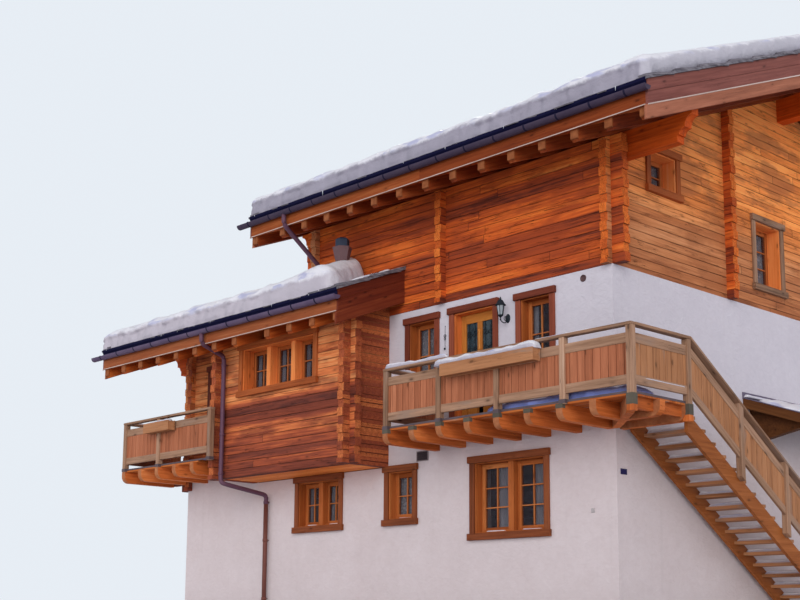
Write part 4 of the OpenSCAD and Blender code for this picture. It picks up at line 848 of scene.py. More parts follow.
rods, hung = [], []
for node, rows in windowRows.items():
    for k, row, place, i, a, light in lightsOf(rows):
        size, kind = windowParts, row[9]
        y, low = size[row[6]] + size["thick"] + curtainSet["rod"], size["lining"] + curtainSet["off"]
        top = row[4] - size["lining"] - size["sash"] * 0.5
        past, aside = curtainSet["rodPast"], curtainSet["clothPast"]
        ends = [spotIn(place, q, y, top) for q in (a - past, a + light + past)]
        rods.append(tube(ends, curtainSet["rod"], 8))
        for j, (lo, hi) in enumerate(curtainShares[kind]):
            x0, x1 = [a - aside + (light + 2 * aside) * share for share in (lo, hi)]
            hung.append((f"curtain_{node}_{k}_{i}_{j}", place, x0, x1, y, low, top,
                         netCloth if kind == "net" else plainCloth, 300 + 7 * k + i))
rodPiece = addPiece("curtain_rods", merged(rods), blackIron, "gutter_metal", True)
for one in hung:
    curtain(*one, rodPiece)
print("curtains done:", len(hung))


# Railings: handrail, upper rail, upright boards, lower rail and posts, all in the railing's own place.
railParts = {"handrail": (0.955, 1.0), "upper": (0.7, 0.85), "infill": (0.228, 0.705),
             "lower": (0.098, 0.236), "post": 0.105, "board": 0.146, "gap": 0.01, "short": 0.012}


def railing(rails, infill, posts, place, long, tails, starts=True, ends=True):
    # tails: how far the post at each distance reaches below the floor; starts and ends say whether a post
    # closes that end, where the rails stop a little inside it.
    size = railParts
    middle = size["post"] / 2
    x0, x1 = size["short"] if starts else 0.0, long - (size["short"] if ends else 0.0)
    for key, a, b, front, back, tone in (("handrail", 0, long, 0.0625, 0.0625, 0.45),
                                         ("upper", x0, x1, 0.03, 0.022, 0.55),
                                         ("lower", x0, x1, 0.03, 0.022, 0.6)):
        low, high = size[key]
        rails.add((a, middle - front, low), (b, middle + back, high), "x", place, tone)
    count = max(1, round((x1 - x0) / size["board"]))
    step = (x1 - x0) / count
    for k in range(count):
        infill.add((x0 + k * step + size["gap"] / 2, middle - 0.018, size["infill"][0]),
                   (x0 + (k + 1) * step - size["gap"] / 2, middle + 0.008, size["infill"][1]), "z", place,
                   chance.uniform(0.35, 0.7))
    for x, tail in tails.items():
        posts.add((x, 0, -tail), (x + size["post"], size["post"], size["handrail"][0]), "z", place)


def railSet(name, runs, node, wood="rosy"):
    rails, infill, posts = Boards(), Boards(), Boards()
    for run in runs:
        railing(rails, infill, posts, *run)
    rails.make(name + "_rails", woods["tan"], "grey_timber", 0.006, [node])
    infill.make(name + "_infill", woods[wood], "stained_boards", 0.004, [node])
    posts.make(name + "_posts", woods["tan"], "grey_timber", 0.006, [node])


leftHigh = floorHigh - 0.06
turnedOut = ((0, 1, 0), (-1, 0, 0))
shortTail, longTail = 0.06, 0.296
railSet("front_rail", [
    (placed((-3.96, -1.26, floorHigh)), 5.22,
     {0.0: shortTail, 1.262: shortTail, 2.543: shortTail, 3.875: shortTail, 5.115: longTail}),
    (placed((-3.855, -1.155, floorHigh), *turnedOut), 1.155, {}, False, False),
], "front_railing")
railSet("side_rail", [(placed((1.26, -1.155, floorHigh), *turnedOut), 1.385, {1.28: longTail}, False)],
        "front_railing", "box")
railSet("left_rail", [
    (placed((-12.17, -1.26, leftHigh)), 3.18, {0.0: shortTail, 1.28: shortTail, 3.075: shortTail}),
    (placed((-12.065, -1.155, leftHigh), *turnedOut), 1.155, {}, False, False),
    (placed((-12.065, -0.105, leftHigh)), 0.315, {}, False, False),
], "left_railing")
stairStep = {"start": 0.23, "run": 0.272, "rise": 0.173, "count": 20, "left": 0.16, "right": 1.095}
stairSlope = stairStep["rise"] / stairStep["run"]
stairPlace = placed((1.26, stairStep["start"], floorHigh), (0, 1, -stairSlope), (-1, 0, 0))
stairTails = {1.28: 0.2, 2.56: 0.2, 3.84: 0.2, 5.063: 0.17}
railSet("stair_rail", [(stairPlace, 5.168, stairTails, False)], "stair_railing", "box")
print("railings done")


# Snow on the roofs, in metres.
snowSet = {"thick": 0.392, "crest": 0.13, "lean": 0.05, "undercut": 0.03, "endRag": 0.045, "across": 0.05,
           "up": 0.085, "face": 13}


def slopeHigh(z, y):
    return z + pitchRise * np.minimum(y, deepHouse - y)


def snowBlanket(key, x0, x1, seed, lumps, material, rounds, strip=None):
    # Rings across the house, each an outline in y and height: up the cut face, round its crest, over both
    # slopes and down the rear face, then back below. At both ends the rings draw in by
    # r * (1 - cos a) while x goes out by r * sin a, so that the blanket ends in a quarter round.
    # strip = (x, y, skew, dome): beyond that x only a strip up to that y is covered, with an upright rear
    # face; its end runs slantwise, x + skew * w(x) * share of the way to the front, and swells by dome.
    shape, roof = snowSet, roofs[key]
    stripX, stripY, skew, dome = strip or (x1 + 1.0, 0.0, 0.0, 0.0)
    z, yFront, yBack = roof["z"], -roof["front"], deepHouse + roof["back"]
    r0, r1 = rounds

    def wave(shift, step, *kind):
        return ripple(x, 0 * x + shift, seed + step, *kind)

    a = np.linspace(0, math.pi / 2, 11)
    middle = np.linspace(x0 + r0, x1 - r1, max(8, int((x1 - x0) / shape["across"])))
    x = np.concatenate([(x0 + r0 - r0 * np.sin(a))[::-1][:-1], middle, (x1 - r1 + r1 * np.sin(a))[1:]])
    inset = np.concatenate([(r0 * (1 - np.cos(a)))[::-1][:-1], 0 * middle, (r1 * (1 - np.cos(a)))[1:]])
    inset = inset[:, None]
    u = np.linspace(0, 1, shape["face"])
    climb = 0.72  # this share of the steps goes up the cut face, the rest round the crest
    flank = np.clip(u / climb, 0, 1)
    bend = np.clip((u - climb) / (1 - climb), 0, 1) * math.pi / 2
    rag = 0.03 * wave(0.0, 0, 16, 0.3, 4.0) + 0.012 * wave(3.0, 1, 12, 3.0, 11.0)
    rag = rag.clip(-0.03, 0.08)[:, None]
    swell = (0.022 * wave(9.0, 2, 12, 0.25, 1.6).clip(-1, 1)
             + 0.038 * lumps * wave(14.0, 9, 14, 0.9, 3.2).clip(-1, 1))[:, None]
    thick = shape["thick"] - 0.02 - inset
    calm = 1 - 0.85 * np.clip((x - stripX - 0.5) / 0.7, 0, 1)[:, None]
    swell = swell * calm
    scallop = np.abs(wave(6.0, 3, 10, 1.1, 3.4))[:, None].clip(0, 1)
    folds = ripple(x[:, None], u[None] * 0.5 + 2.0, seed + 6, 14, 0.9, 5.0)
    crest = shape["crest"]
    faceUp = flank[None] * (thick + swell - crest) + crest * np.sin(bend)[None]
    faceIn = shape["lean"] * flank[None] + crest * (1 - np.cos(bend))[None]
    faceIn = faceIn + shape["undercut"] * np.exp(-(u[None] / 0.16) ** 2)
    bite = 0.01 + (0.04 + 0.045 * lumps) * scallop * calm
    faceIn = faceIn - bite * np.exp(-((u[None] - 0.8) / 0.1) ** 2)
    faceIn = (faceIn - (0.01 + 0.018 * lumps) * folds * calm).clip(-0.03, 1)
    edge = yFront + 0.035 + rag + inset
    frontY = edge + faceIn
    frontZ = slopeHigh(z, frontY) + coverHigh + np.maximum(faceUp, 0.0)
    wide = (x < stripX)[:, None] * 1.0
    end = wide * (yBack - 0.035 - rag[::-1] - inset) + (1 - wide) * stripY
    backY = end - wide * faceIn[:, ::-1]
    backZ = slopeHigh(z, backY) + coverHigh + np.maximum(faceUp[:, ::-1], 0.0)
    share = np.linspace(0, 1, max(16, int((yBack - yFront) / shape["up"])))[None, 1:-1]
    topY = frontY[:, -1:] + (backY[:, :1] - frontY[:, -1:]) * share
    dents = ripple(x[:, None] * 1.0, topY * 0.9, seed + 4, 22, 0.45, 5.0)
    near = np.exp(-((topY - yFront) / (0.75 + 0.6 * lumps)) ** 2)
    ease = np.minimum(1, (topY - frontY[:, -1:]) / 0.12) * np.minimum(1, (backY[:, :1] - topY) / 0.12)
    pits = (0.03 + 0.11 * lumps) * near * np.clip(dents - 0.25, 0, 1) * calm
    down = (0.01 + 0.01 * calm * dents.clip(-1, 1) + pits) * ease
    ridge = 0.055 * np.exp(-((topY - deepHouse / 2) / 0.35) ** 2)
    edges = np.exp(-((topY - yFront) / 0.9) ** 2) + np.exp(-((topY - yBack) / 0.9) ** 2)
    topZ = slopeHigh(z, topY) + coverHigh + np.maximum(thick + swell * edges - down - ridge, 0.01)
    y = np.concatenate([frontY, topY, backY], 1)
    up = np.concatenate([frontZ, topZ, backZ], 1)
    below = slopeHigh(z, y) + coverHigh - 0.012
    outer = np.maximum(1 - (x - x0) / 0.5, 0).clip(0, 1) - np.maximum(1 - (x1 - x) / 0.5, 0).clip(0, 1)
    torn = 0.5 + 0.5 * ripple(0 * y + 2.0 * seed, y, seed + 8, 16, 0.8, 7.0).clip(-1, 1)
    across = x[:, None] + shape["endRag"] * outer[:, None] * torn
    share = np.clip((stripY - y) / (stripY - yFront), 0, 1)
    w = np.clip((x - stripX) / (x1 - stripX), 0, 1)[:, None]
    across = across + skew * w * w * (3 - 2 * w) * share
    rise = dome * (x[:, None] > stripX) * np.exp(-((x[:, None] - x1 + 0.5) / 0.4) ** 2)
    up = up + rise * np.clip(up - below, 0, 0.3) / 0.3
    top, under = np.stack([across, y, up], -1), np.stack([across, y, np.minimum(below, up - 0.001)], -1)
    points = np.concatenate([top, under[:, ::-1]], 1)
    rows, cols = points.shape[:2]
    half = cols // 2
    faces = gridFaces(rows, cols, True).tolist()
    k = np.arange(half - 1)
    caps = np.stack([k, k + 1, cols - 2 - k, cols - 1 - k], -1)
    faces += caps[:, ::-1].tolist() + (caps + (rows - 1) * cols).tolist()
    addPiece(key + "_snow_cover", (points.reshape(-1, 3), faces), material, "snow", True, [key + "_snow"])


snowBlanket("main", -8.28, 1.48, 21, 0.35, snow, (0.22, 0.17))
snowBlanket("annex", -12.78, -5.655, 41, 0.8, looseSnow, (0.24, 0.42),
            (house["blockLeft"] - 0.29, -0.17, 0.78, 0.12))


def mound(path, wide, high, seed, columns=9):
    # Snow lying along a path: half rounded section, wide and high changing along it, thin at both ends.
    path = np.asarray(path, float)
    far = np.concatenate([[0], np.cumsum(np.linalg.norm(np.diff(path, axis=0), axis=1))])
    count = max(6, int(far[-1] / 0.05))
    at = np.linspace(0, far[-1], count)
    line = np.stack([np.interp(at, far, path[:, k]) for k in range(3)], -1)
    ahead = np.gradient(line, axis=0)
    ahead /= np.linalg.norm(ahead, axis=1)[:, None]
    side = np.cross([0, 0, 1.0], ahead)
    side = side / np.linalg.norm(side, axis=1)[:, None]
    ends = np.clip(np.minimum(at, far[-1] - at) / max(0.03, high * 0.9), 0, 1)
    body = np.maximum(1 - (1 - ends) ** 2.4, 0.003) ** 0.45
    wobble = ripple(at, 0 * at, seed, 12, 0.6, 7.0).clip(-1.3, 1.3)
    reach = wide / 2 * (0.86 + 0.1 * wobble) * (0.6 + 0.4 * body)
    rise = high * (0.85 + 0.22 * ripple(at, 0 * at + 4, seed + 1, 12, 0.5, 6.0).clip(-1.5, 1.5)) * body
    turn = np.linspace(0, math.pi, columns)
    bulge = np.sign(np.cos(turn)) * np.abs(np.cos(turn)) ** 0.7
    top = line[:, None] + (reach[:, None] * bulge)[..., None] * side[:, None]
    top[..., 2] += np.abs(rise)[:, None] * np.sin(turn) ** 0.8 - 0.003
    return top.reshape(-1, 3), ringFaces(count, columns)


railLine = 1.2075  # middle of the rails, out from the walls
# Snow lying on rails, boxes, treads and the decks: height, then each path's (x, y) points, width, thickness.
onRail, onLeft, onBox, onDeck = [high + over for high, over in (
    (floorHigh, 0.998), (leftHigh, 0.998), (floorHigh, 0.848), (floorHigh, -0.004))]
drifts = [
    (onRail, [(-3.95, -railLine), (-2.45, -railLine)], 0.105, 0.085),
    (onRail, [(-0.62, -railLine), (0.5, -railLine)], 0.075, 0.03),
    (onRail, [(0.7, -railLine), (1.2, -railLine)], 0.05, 0.012),
    (onRail, [(-3.9075, -1.1), (-3.9075, -0.1)], 0.1, 0.07),
    (onBox, [(-2.62, -1.3), (-1.6, -1.31), (-0.42, -1.32)], 0.265, 0.138),
    (leftHigh + 0.848, [(-11.1, -1.35), (-10.24, -1.35)], 0.165, 0.05),
    (onLeft, [(-12.1, -railLine), (-9.0, -railLine)], 0.09, 0.02),
    (onLeft, [(-12.12, -1.1), (-12.12, -0.1)], 0.1, 0.045),
    (onRail, [(railLine, -1.1), (railLine, 0.2)], 0.07, 0.022),
    (floorHigh + 0.204, [(1.22, -1.0), (1.22, 0.1)], 0.045, 0.025),
    (3.655, [(0.03, 3.64), (0.03, 6.96)], 0.13, 0.055),
]
deckDrifts = [
    (onDeck, [(-1.75, -0.72), (1.08, -0.72)], 0.94, 0.235),
    (onDeck, [(0.62, -0.9), (0.62, 0.2)], 1.0, 0.095),
    (onDeck, [(-3.75, -1.06), (-2.3, -1.06)], 0.2, 0.035),
    (leftHigh - 0.004, [(-11.9, -0.9), (-9.3, -0.9)], 0.45, 0.045),
]
driftParts, deckParts = [[mound([(x, y, z) for x, y in path], wide, high, seed + k)
                          for k, (z, path, wide, high) in enumerate(rows)]
                         for rows, seed in ((drifts, 60), (deckDrifts, 80))]
addPiece("deck_snow", merged(deckParts), shadeSnow, "snow", True)
for k in range(1, stairStep["count"]):
    y, z = stairStep["start"] + (k - 1) * stairStep["run"] + 0.125, floorHigh - k * stairStep["rise"]
    driftParts.append(mound([(stairStep["left"] + 0.01, y, z), (stairStep["right"] - 0.01, y, z)], 0.25,
                            0.055 + 0.03 * chance.random(), 90 + k))
down = np.linspace(0.05, 5.1, 40)
slopeLine = np.stack([0 * down + railLine, stairStep["start"] + down, onRail - stairSlope * down], -1)
driftParts.append(mound(slopeLine, 0.08, 0.035, 140))
for node, rows in windowRows.items():
    for k, row, place, i, a, light in lightsOf(rows):
        if row[2] < 2.0:  # sills of the ground floor
            y, z = windowParts[row[6]] - 0.045, windowParts["lining"] - 0.002
            ends = [spotIn(place, q, y, z) for q in (a + light * 0.08, a + light * 0.98)]
            driftParts.append(mound(ends, 0.075, 0.03, 150 + 9 * k + i))
addPiece("snow_drifts", merged(driftParts), driftSnow, "snow", True)


# Thin, broken snow on the canopy and on the bare slates: a patch is a dome with a wavy outline.
def patch(centre, half, high, slope, seed):
    ring, turn = np.linspace(0, 1, 9), np.linspace(0, 2 * math.pi, 40, endpoint=False)
    pick = np.random.default_rng(seed)
    out = 1 + sum(pick.uniform(0.04, 0.17) * np.sin(k * turn + pick.uniform(0, 6.3)) for k in (2, 3, 4, 5, 7))
    x = ring[:, None] * out[None] * np.cos(turn)[None] * half[0]
    y = ring[:, None] * out[None] * np.sin(turn)[None] * half[1]
    z = high * (1 - ring[:, None] ** 3) ** 0.6 * (1 + 0.25 * ripple(x * 2.0, y * 2.0, seed, 10, 0.6, 3.0))
    z = z + slope[0] * x + slope[1] * y
    top = np.stack([x, y, z], -1)[1:]
    heart = np.array([[0.0, 0.0, high]])
    base = np.stack([x[-1], y[-1], slope[0] * x[-1] + slope[1] * y[-1] - 0.004], -1)
    points = np.concatenate([top.reshape(-1, 3), base, heart]) + np.asarray(centre)
    rows, cols = len(top), len(turn)
    faces = gridFaces(rows + 1, cols, True).tolist()
    last = (rows + 1) * cols
    k = np.arange(cols)
    faces += np.stack([k, np.full(cols, last), (k + 1) % cols], -1).tolist() + [(rows * cols + k).tolist()]
    return points, [f[::-1] for f in faces]


canopySet = {"y0": 3.65, "y1": 6.95, "out": 1.25, "top": 3.64, "fall": 0.44, "board": 0.15}
canopySlope = -canopySet["fall"] / canopySet["out"]
canopySnow = [(0.66, 4.18, 0.52, 0.5), (0.62, 5.25, 0.5, 0.56), (0.66, 6.38, 0.48, 0.52)]
bareSnow = [(-5.08, -0.66, 0.2, 0.11), (-4.9, -1.02, 0.09, 0.14), (-5.34, -0.3, 0.16, 0.09),
            (-4.98, -0.32, 0.14, 0.1)]
patches = [patch((x, y, canopySet["top"] + canopySlope * x + 0.016), half, 0.085, (canopySlope, 0.0), 400 + k)
           for k, (x, y, *half) in enumerate(canopySnow)]
for k, (x, y, *half) in enumerate(bareSnow):
    spot = (x, y, slopeHigh(roofs["annex"]["z"], y) + coverHigh + 0.028)
    patches.append(patch(spot, half, 0.03, (0.0, pitchRise), 420 + k))
addPiece("snow_patches", merged(patches), driftSnow, "snow", True)
print("snow done")


# Split slates: eight-cornered plates with uneven edges, in layers along the roof edges.
def slatePlates(rows):
    # rows: centre, half width, half length, axes u and v, thickness; the outline's reach varies by corner.
    points, faces, tones = [], [], []
    turn = np.array([0.55, 1.15, 1.95, 2.62, 3.62, 4.25, 5.2, 5.75])
    for count, (centre, halfU, halfV, u, v, thick) in enumerate(rows):
        reach = 1.22 + 0.16 * chance.uniform(-1, 1, len(turn))
        flat = np.stack([np.clip(swing * reach, -1, 1) * half
                         for swing, half in ((np.cos(turn), halfU), (np.sin(turn), halfV))], -1)
        ring = np.asarray(centre) + flat[:, :1] * np.asarray(u) + flat[:, 1:] * np.asarray(v)
        base = 16 * count
        points += [ring, ring + np.cross(u, v) * thick]
        faces += [list(range(base + 7, base - 1, -1)), list(range(base + 8, base + 16))]
        faces += [[base + k, base + (k + 1) % 8, base + 8 + (k + 1) % 8, base + 8 + k] for k in range(8)]
        tones.append(np.full(16, chance.uniform(0.1, 0.9)))
    return (np.concatenate(points), faces), np.concatenate(tones)


def vergesOf(key, roof):
    # Verge of each slope: the roof's end, the way out from it, side (1 front, -1 rear), y at its foot and at
    # its top, and whether it is the short one, where the annex roof ends against the front wall.
    for x, way in ((roof["x0"], -1), (roof["x1"], 1)):
        short = key == "annex" and way > 0
        for side in (1,) if short else (1, -1):
            foot = -roof["front"] if side > 0 else deepHouse + roof["back"]
            yield x, way, side, foot, 0.0 if short else deepHouse / 2, short


slateSet = {"wide": (0.22, 0.46), "half": 0.15, "thick": (0.014, 0.024), "vergeStep": 0.66, "vergeHalf": 0.12,
            "vergeThick": (0.02, 0.03), "vergeTilt": 0.08, "bareStep": 0.2, "bareTilt": 0.34,
            "bareThick": (0.016, 0.024)}
slateRows, half = [], slateSet["half"]
for key, roof in roofs.items():
    for side, edgeY in ((1, -roof["front"]), (-1, deepHouse + roof["back"])):
        stop = -8.4 if key == "annex" and side < 0 else roof["x1"]
        x = roof["x0"] - 0.03
        while x < stop:
            wide = min(chance.uniform(*slateSet["wide"]), stop + 0.03 - x)
            out = 0.045 + (chance.uniform(0.0, 0.045) if chance.random() < 0.45 else 0.0)
            y = edgeY - side * (out - half)
            z = slopeHigh(roof["z"], y) + coverHigh - 0.02 + chance.uniform(0, 0.006)
            slateRows.append(((x + wide / 2, y, z), wide / 2 - 0.004, half, (1, 0, 0),
                              (0, cosPitch, side * sinPitch), chance.uniform(*slateSet["thick"])))
            x += wide
    # Up the verges: each plate lies a little flatter than the roof, with its lower end on the one before.
    for x, way, side, y, stop, short in vergesOf(key, roof):
        tilt = pitch - slateSet["vergeTilt"]
        while (stop - y) * side > 0.05:
            long = min(slateSet["vergeStep"] * chance.uniform(0.75, 1.3), abs(stop - y))
            for layer in range(2):
                out = chance.uniform(0.02, 0.06) - layer * 0.03
                middle = y + side * (long / 2 + layer * 0.06)
                z = slopeHigh(roof["z"], middle) + coverHigh - 0.03 + layer * 0.022
                at = (x + way * (out - slateSet["vergeHalf"]), middle, z)
                slateRows.append((at, slateSet["vergeHalf"], long / 2 + 0.03, (1, 0, 0),
                                  (0, math.cos(tilt), side * math.sin(tilt)),
                                  chance.uniform(*slateSet["vergeThick"])))
            y += side * long
# The bare strip right of the bay's snow.
bare, tilt, up = roofs["annex"], slateSet["bareTilt"], 0.12
y = -bare["front"] + 0.06
while y < -0.14:
    x = -5.8 + chance.uniform(0, 0.1)
    while x < bare["x1"] - 0.05:
        wide = min(chance.uniform(0.22, 0.36), bare["x1"] + 0.03 - x)
        z = slopeHigh(bare["z"], y + up) + coverHigh + 0.002 + chance.uniform(0, 0.008)
        slateRows.append(((x + wide / 2, y + up, z), wide / 2 - 0.006, half, (1, 0, 0),
                          (0, math.cos(tilt), math.sin(tilt)), chance.uniform(*slateSet["bareThick"])))
        x += wide
    y += slateSet["bareStep"]
plates, tones = slatePlates(slateRows)
addPiece("edge_slates", plates, slates, "slate", tone=tones)
print("slates done:", len(slateRows))


def stripAlong(profile, x0, x1):
    # A folded sheet carried along x: profile is a closed outline of (y, z) points, counterclockwise with y to
    # the right and z up.
    profile = np.asarray(profile, float)
    count = len(profile)
    points = np.stack([np.repeat([x0, x1], count), np.tile(profile[:, 0], 2), np.tile(profile[:, 1], 2)], -1)
    return points, [f[::-1] for f in ringFaces(2, count)]


gutterSet = {"radius": 0.075, "rim": 0.0095, "strap": 0.036, "pitch": 0.655, "sheetLong": 2.0}
# Each: gutter from and to, outer edge of the roof, way out (-1 front, 1 rear), height, roof from and to.
gutterLines = [
    (-8.303, 1.6, -1.1, -1, 7.516, -8.053, 1.54), (-8.303, 1.6, 11.7, 1, 7.516, -8.053, 1.54),
    (-12.79, -4.695, -1.617, -1, 5.391, -12.54, -4.755), (-12.79, -8.313, 11.7, 1, 5.6, -12.54, -8.4),
]
# Section of the sheet between slates and gutter: distance out and height over the gutter's rim.
sheetProfile = [(0.006, -0.03), (0.012, -0.03), (0.014, 0.08), (0.037, 0.108), (0.04, 0.153),
                (0.035, 0.153), (0.032, 0.112), (0.009, 0.084)]
sheets, straps, rims = [], [], []
radius = gutterSet["radius"]
for x0, x1, y, way, z, b0, b1 in gutterLines:
    fold = [(y + way * a, z + b) for a, b in sheetProfile][::-way]
    x = b0 + 0.01
    while x < b1 - 0.01:  # lengths with a raised joint
        end = min(x + gutterSet["sheetLong"], b1 - 0.01)
        sheets.append(stripAlong(fold, x, end))
        if end < b1 - 0.3:
            joint = [(a + way * 0.004, b + 0.002) for a, b in fold]
            sheets.append(stripAlong(joint, end - 0.035, end + 0.004))
        x = end
    middle = y + way * radius
    turn = np.linspace(0, -math.pi, 15)
    at = x0 + 0.33
    while at < x1 - 0.1:
        outer, inner = [[(middle + r * math.cos(t), z + r * math.sin(t)) for t in turn]
                        for r in (radius + 0.0015, radius - 0.003)]
        tab = [(middle + way * (radius + a), z + b)
               for a, b in ((-0.019, 0.0), (0.001, 0.0), (0.001, 0.012), (-0.019, 0.012))]
        for outline in (outer[::-1] + inner, tab[::-way]):
            straps.append(stripAlong(outline, at, at + gutterSet["strap"]))
        at += gutterSet["pitch"]
    rim = middle + way * (radius - gutterSet["rim"])
    rims.append(tube([(x0, rim, z - 0.002), (x1, rim, z - 0.002)], gutterSet["rim"], 8))
addPiece("eave_flashing", merged(sheets), navySheet, "gutter_metal")
addPiece("gutter_straps", merged(straps), strapSheet, "gutter_metal")
addPiece("gutter_rims", merged(rims), gutterSheet, "gutter_metal", True)

# Icicles under the slates' edge along each gutter, in loose groups.
ice = Look("clear ice")
iceCloud = ice.noise(ice.place, 30.0, 3.0)
iceTone = ice.ramp(iceCloud, [(0.3, (0.62, 0.68, 0.76)), (0.7, (0.84, 0.87, 0.92))])
iceLook = ice.finish(iceTone, 0.12, iceCloud, 0.003, alpha=0.72 + iceCloud * 0.2)
icicles, taper = [], np.array([1.0, 0.8, 0.55, 0.25, 0.0])
for x0, x1, y, way, z, b0, b1 in gutterLines:
    x = b0 + 0.2
    while x < b1 - 0.1:
        long = chance.uniform(0.02, 0.06) * (1.0 if chance.random() < 0.85 else 1.7)
        body = np.stack([(0.004 + long * 0.035) * (1 - taper) ** 0.8 + 0.0008, -taper * long], -1)
        icicles.append(turned(body, (x, y + way * 0.055, z + 0.15), 6, chance.uniform(0, 1)))
        x += chance.uniform(0.3, 2.4)
addPiece("icicles", merged(icicles), iceLook, "snow", True)

# Fascias across the rafter tails and the boards up the verges, each in the verge's own sheared place.
vergeSet = {"thick": 0.04, "low": (-0.01, 0.214), "high": (0.214, 0.614), "highlightBead": 0.02}
thick, highlightBead, low, high = [vergeSet[key] for key in ("thick", "highlightBead", "low", "high")]
fascias, lowFascias, lowVerges, highVerges, shortVerges, beads = [Boards() for k in range(6)]
for key, roof in roofs.items():
    for side, edgeY in ((-1, -roof["front"]), (1, deepHouse + roof["back"])):
        z = float(slopeHigh(roof["z"], edgeY)) + low[1]
        x0, x1 = roof["x0"] + thick, roof["x1"] - thick
        if key == "annex" and side > 0:
            x1 = house["blockLeft"]
        cuts = np.linspace(x0, x1, max(2, round((x1 - x0) / 4.2)) + 1)
        for a, b in zip(cuts[:-1], cuts[1:]):
            boards = fascias if key == "main" else lowFascias
            boards.add((a + 0.0008, edgeY - side * thick, z), (b - 0.0008, edgeY, z + 0.3), "x")
        # A pale bead strip along the boards' lower edge: a painted highlight of their lit bottom edge.
        beads.add((x0, edgeY, z + 0.001), (x1, edgeY + side * 0.01, z + 0.017), "x", None, 0.75)
    for x, way, side, foot, crown, short in vergesOf(key, roof):
        span, past = abs(crown - foot), 0.04 if way > 0 else -0.06
        place = placed((x, foot, float(slopeHigh(roof["z"], foot))), (0, side, pitchRise), (way, 0, 0))
        middle = sum(high) / 2
        lowBoards, highBoards = (shortVerges, shortVerges) if short else (lowVerges, highVerges)
        lowBoards.add((-past, -thick, low[0]), (span, 0.004, low[1]), "x", place)
        highBoards.add((0, -thick, high[0]), (span, 0.0, middle - 0.0015), "x", place)
        highBoards.add((0, -thick, middle + 0.0015), (span, 0.003, high[1]), "x", place)
        if not short:
            beads.add((0, 0, low[1] - highlightBead / 2), (span, 0.014, low[1] + highlightBead / 2), "x", place, 0.85)
mainEave, annexEave = "main_eave_boards", "annex_eave_boards"
for boards, name, wood, nodes in ((fascias, "main_fascia", "fascia", [mainEave]),
                                  (lowFascias, "annex_fascia", "annexFascia", [annexEave]),
                                  (lowVerges, "verge_low_boards", "vergeLow", [mainEave, annexEave]),
                                  (highVerges, "verge_high_boards", "verge", [mainEave, annexEave]),
                                  (shortVerges, "annex_verge_boards", "annexVerge", [annexEave])):
    boards.make(name, woods[wood], "stained_boards", 0.004, nodes)
# Pale bead strips: painted highlight along the lower edges of fascias and verges.
beads.make("roof_highlight_beads", woods["highlightBead"], "stained_boards", 0.003)
print("eaves done")

# Doors: framed leaves in cased reveals; the balcony door has two tall lights behind wrought grilles.
doorRows = [("front", -3.483, floorHigh, 0.945, 2.11, "masonry", "glazed"),
            ("front", -10.75, floorHigh, 0.8, 2.06, "logs", "plank"),
            ("right", 5.85, -0.3, 1.0, 2.08, "masonry", "plank")]
doorSet = {"stile": 0.115, "foot": 0.62, "middle": 0.105, "head": 0.16, "planks": 7, "handleUp": 1.02,
           "curl": 0.068, "beads": [(0.02, 0.0), (0.024, 0.02), (0.014, 0.05), (0.02, 0.14), (0.025, 0.22),
                                    (0.017, 0.3), (0.023, 0.33), (0.015, 0.36)]}
doorIron = []


def glazedLeaf(leaves, panes, place, x0, x1, top, y0, y1):
    # Two leaves with a boarded foot and a light each; gives the turned post that stands between them.
    stile, foot, middle, head = [doorSet[key] for key in ("stile", "foot", "middle", "head")]
    half, high = (x1 - x0 - 2 * stile - middle) / 2, top - head
    for a in (x0, x1 - stile):
        leaves.add((a, y0, 0.005), (a + stile, y1, top), "z", place, 0.6)
    centre = x0 + stile + half
    leaves.add((centre, y0 - 0.004, foot), (centre + middle, y1, high), "z", place, 0.5)
    for z0, z1 in ((0.005, 0.16), (foot - 0.1, foot), (high, top)):
        leaves.add((x0 + stile, y0 + 0.002, z0), (x1 - stile, y1, z1), "x", place, 0.6)
    tall = high - foot
    # Scrolls: r = curl * (1 - 0.85 * share), carried round one and a half turns, mirrored up and down.
    share = np.linspace(0, 1, 22)
    turn, r = share * 3 * math.pi, doorSet["curl"] * (1 - 0.85 * share)
    for a in (x0 + stile, centre + middle):
        leaves.add((a, y0 + 0.022, 0.16), (a + half, y1 - 0.01, foot - 0.1), "z", place)
        leaves.add((a + 0.035, y0 + 0.01, 0.2), (a + half - 0.035, y0 + 0.024, foot - 0.14), "z", place)
        panes.add((a, y0 + 0.026, foot), (a + half, y0 + 0.032, high), "z", place)
        for x in (0.25, 0.75):
            bar = [spotIn(place, a + half * x, y0 + 0.014, z) for z in (foot, foot + tall)]
            doorIron.append(tube(bar, 0.006, 6))
        for up, flip in ((0.13, 1), (0.36, -1), (0.62, 1), (0.86, -1)):
            for way in (1, -1):
                x = a + half / 2 + way * (doorSet["curl"] - r * np.cos(turn))
                z = foot + tall * up + flip * r * np.sin(turn)
                local = np.stack([x, 0 * share + y0 + 0.012, z, 0 * share + 1], -1)
                doorIron.append(tube((local @ place.T)[:, :3], 0.0055, 5))
    rows = [(r, z + k * 0.36) for k in range(3) for r, z in doorSet["beads"]]
    standing = spotIn(place, centre + middle / 2, y0 - 0.006, foot + 0.08)
    return turned([row for row in rows if row[1] < tall - 0.16], standing, 12)


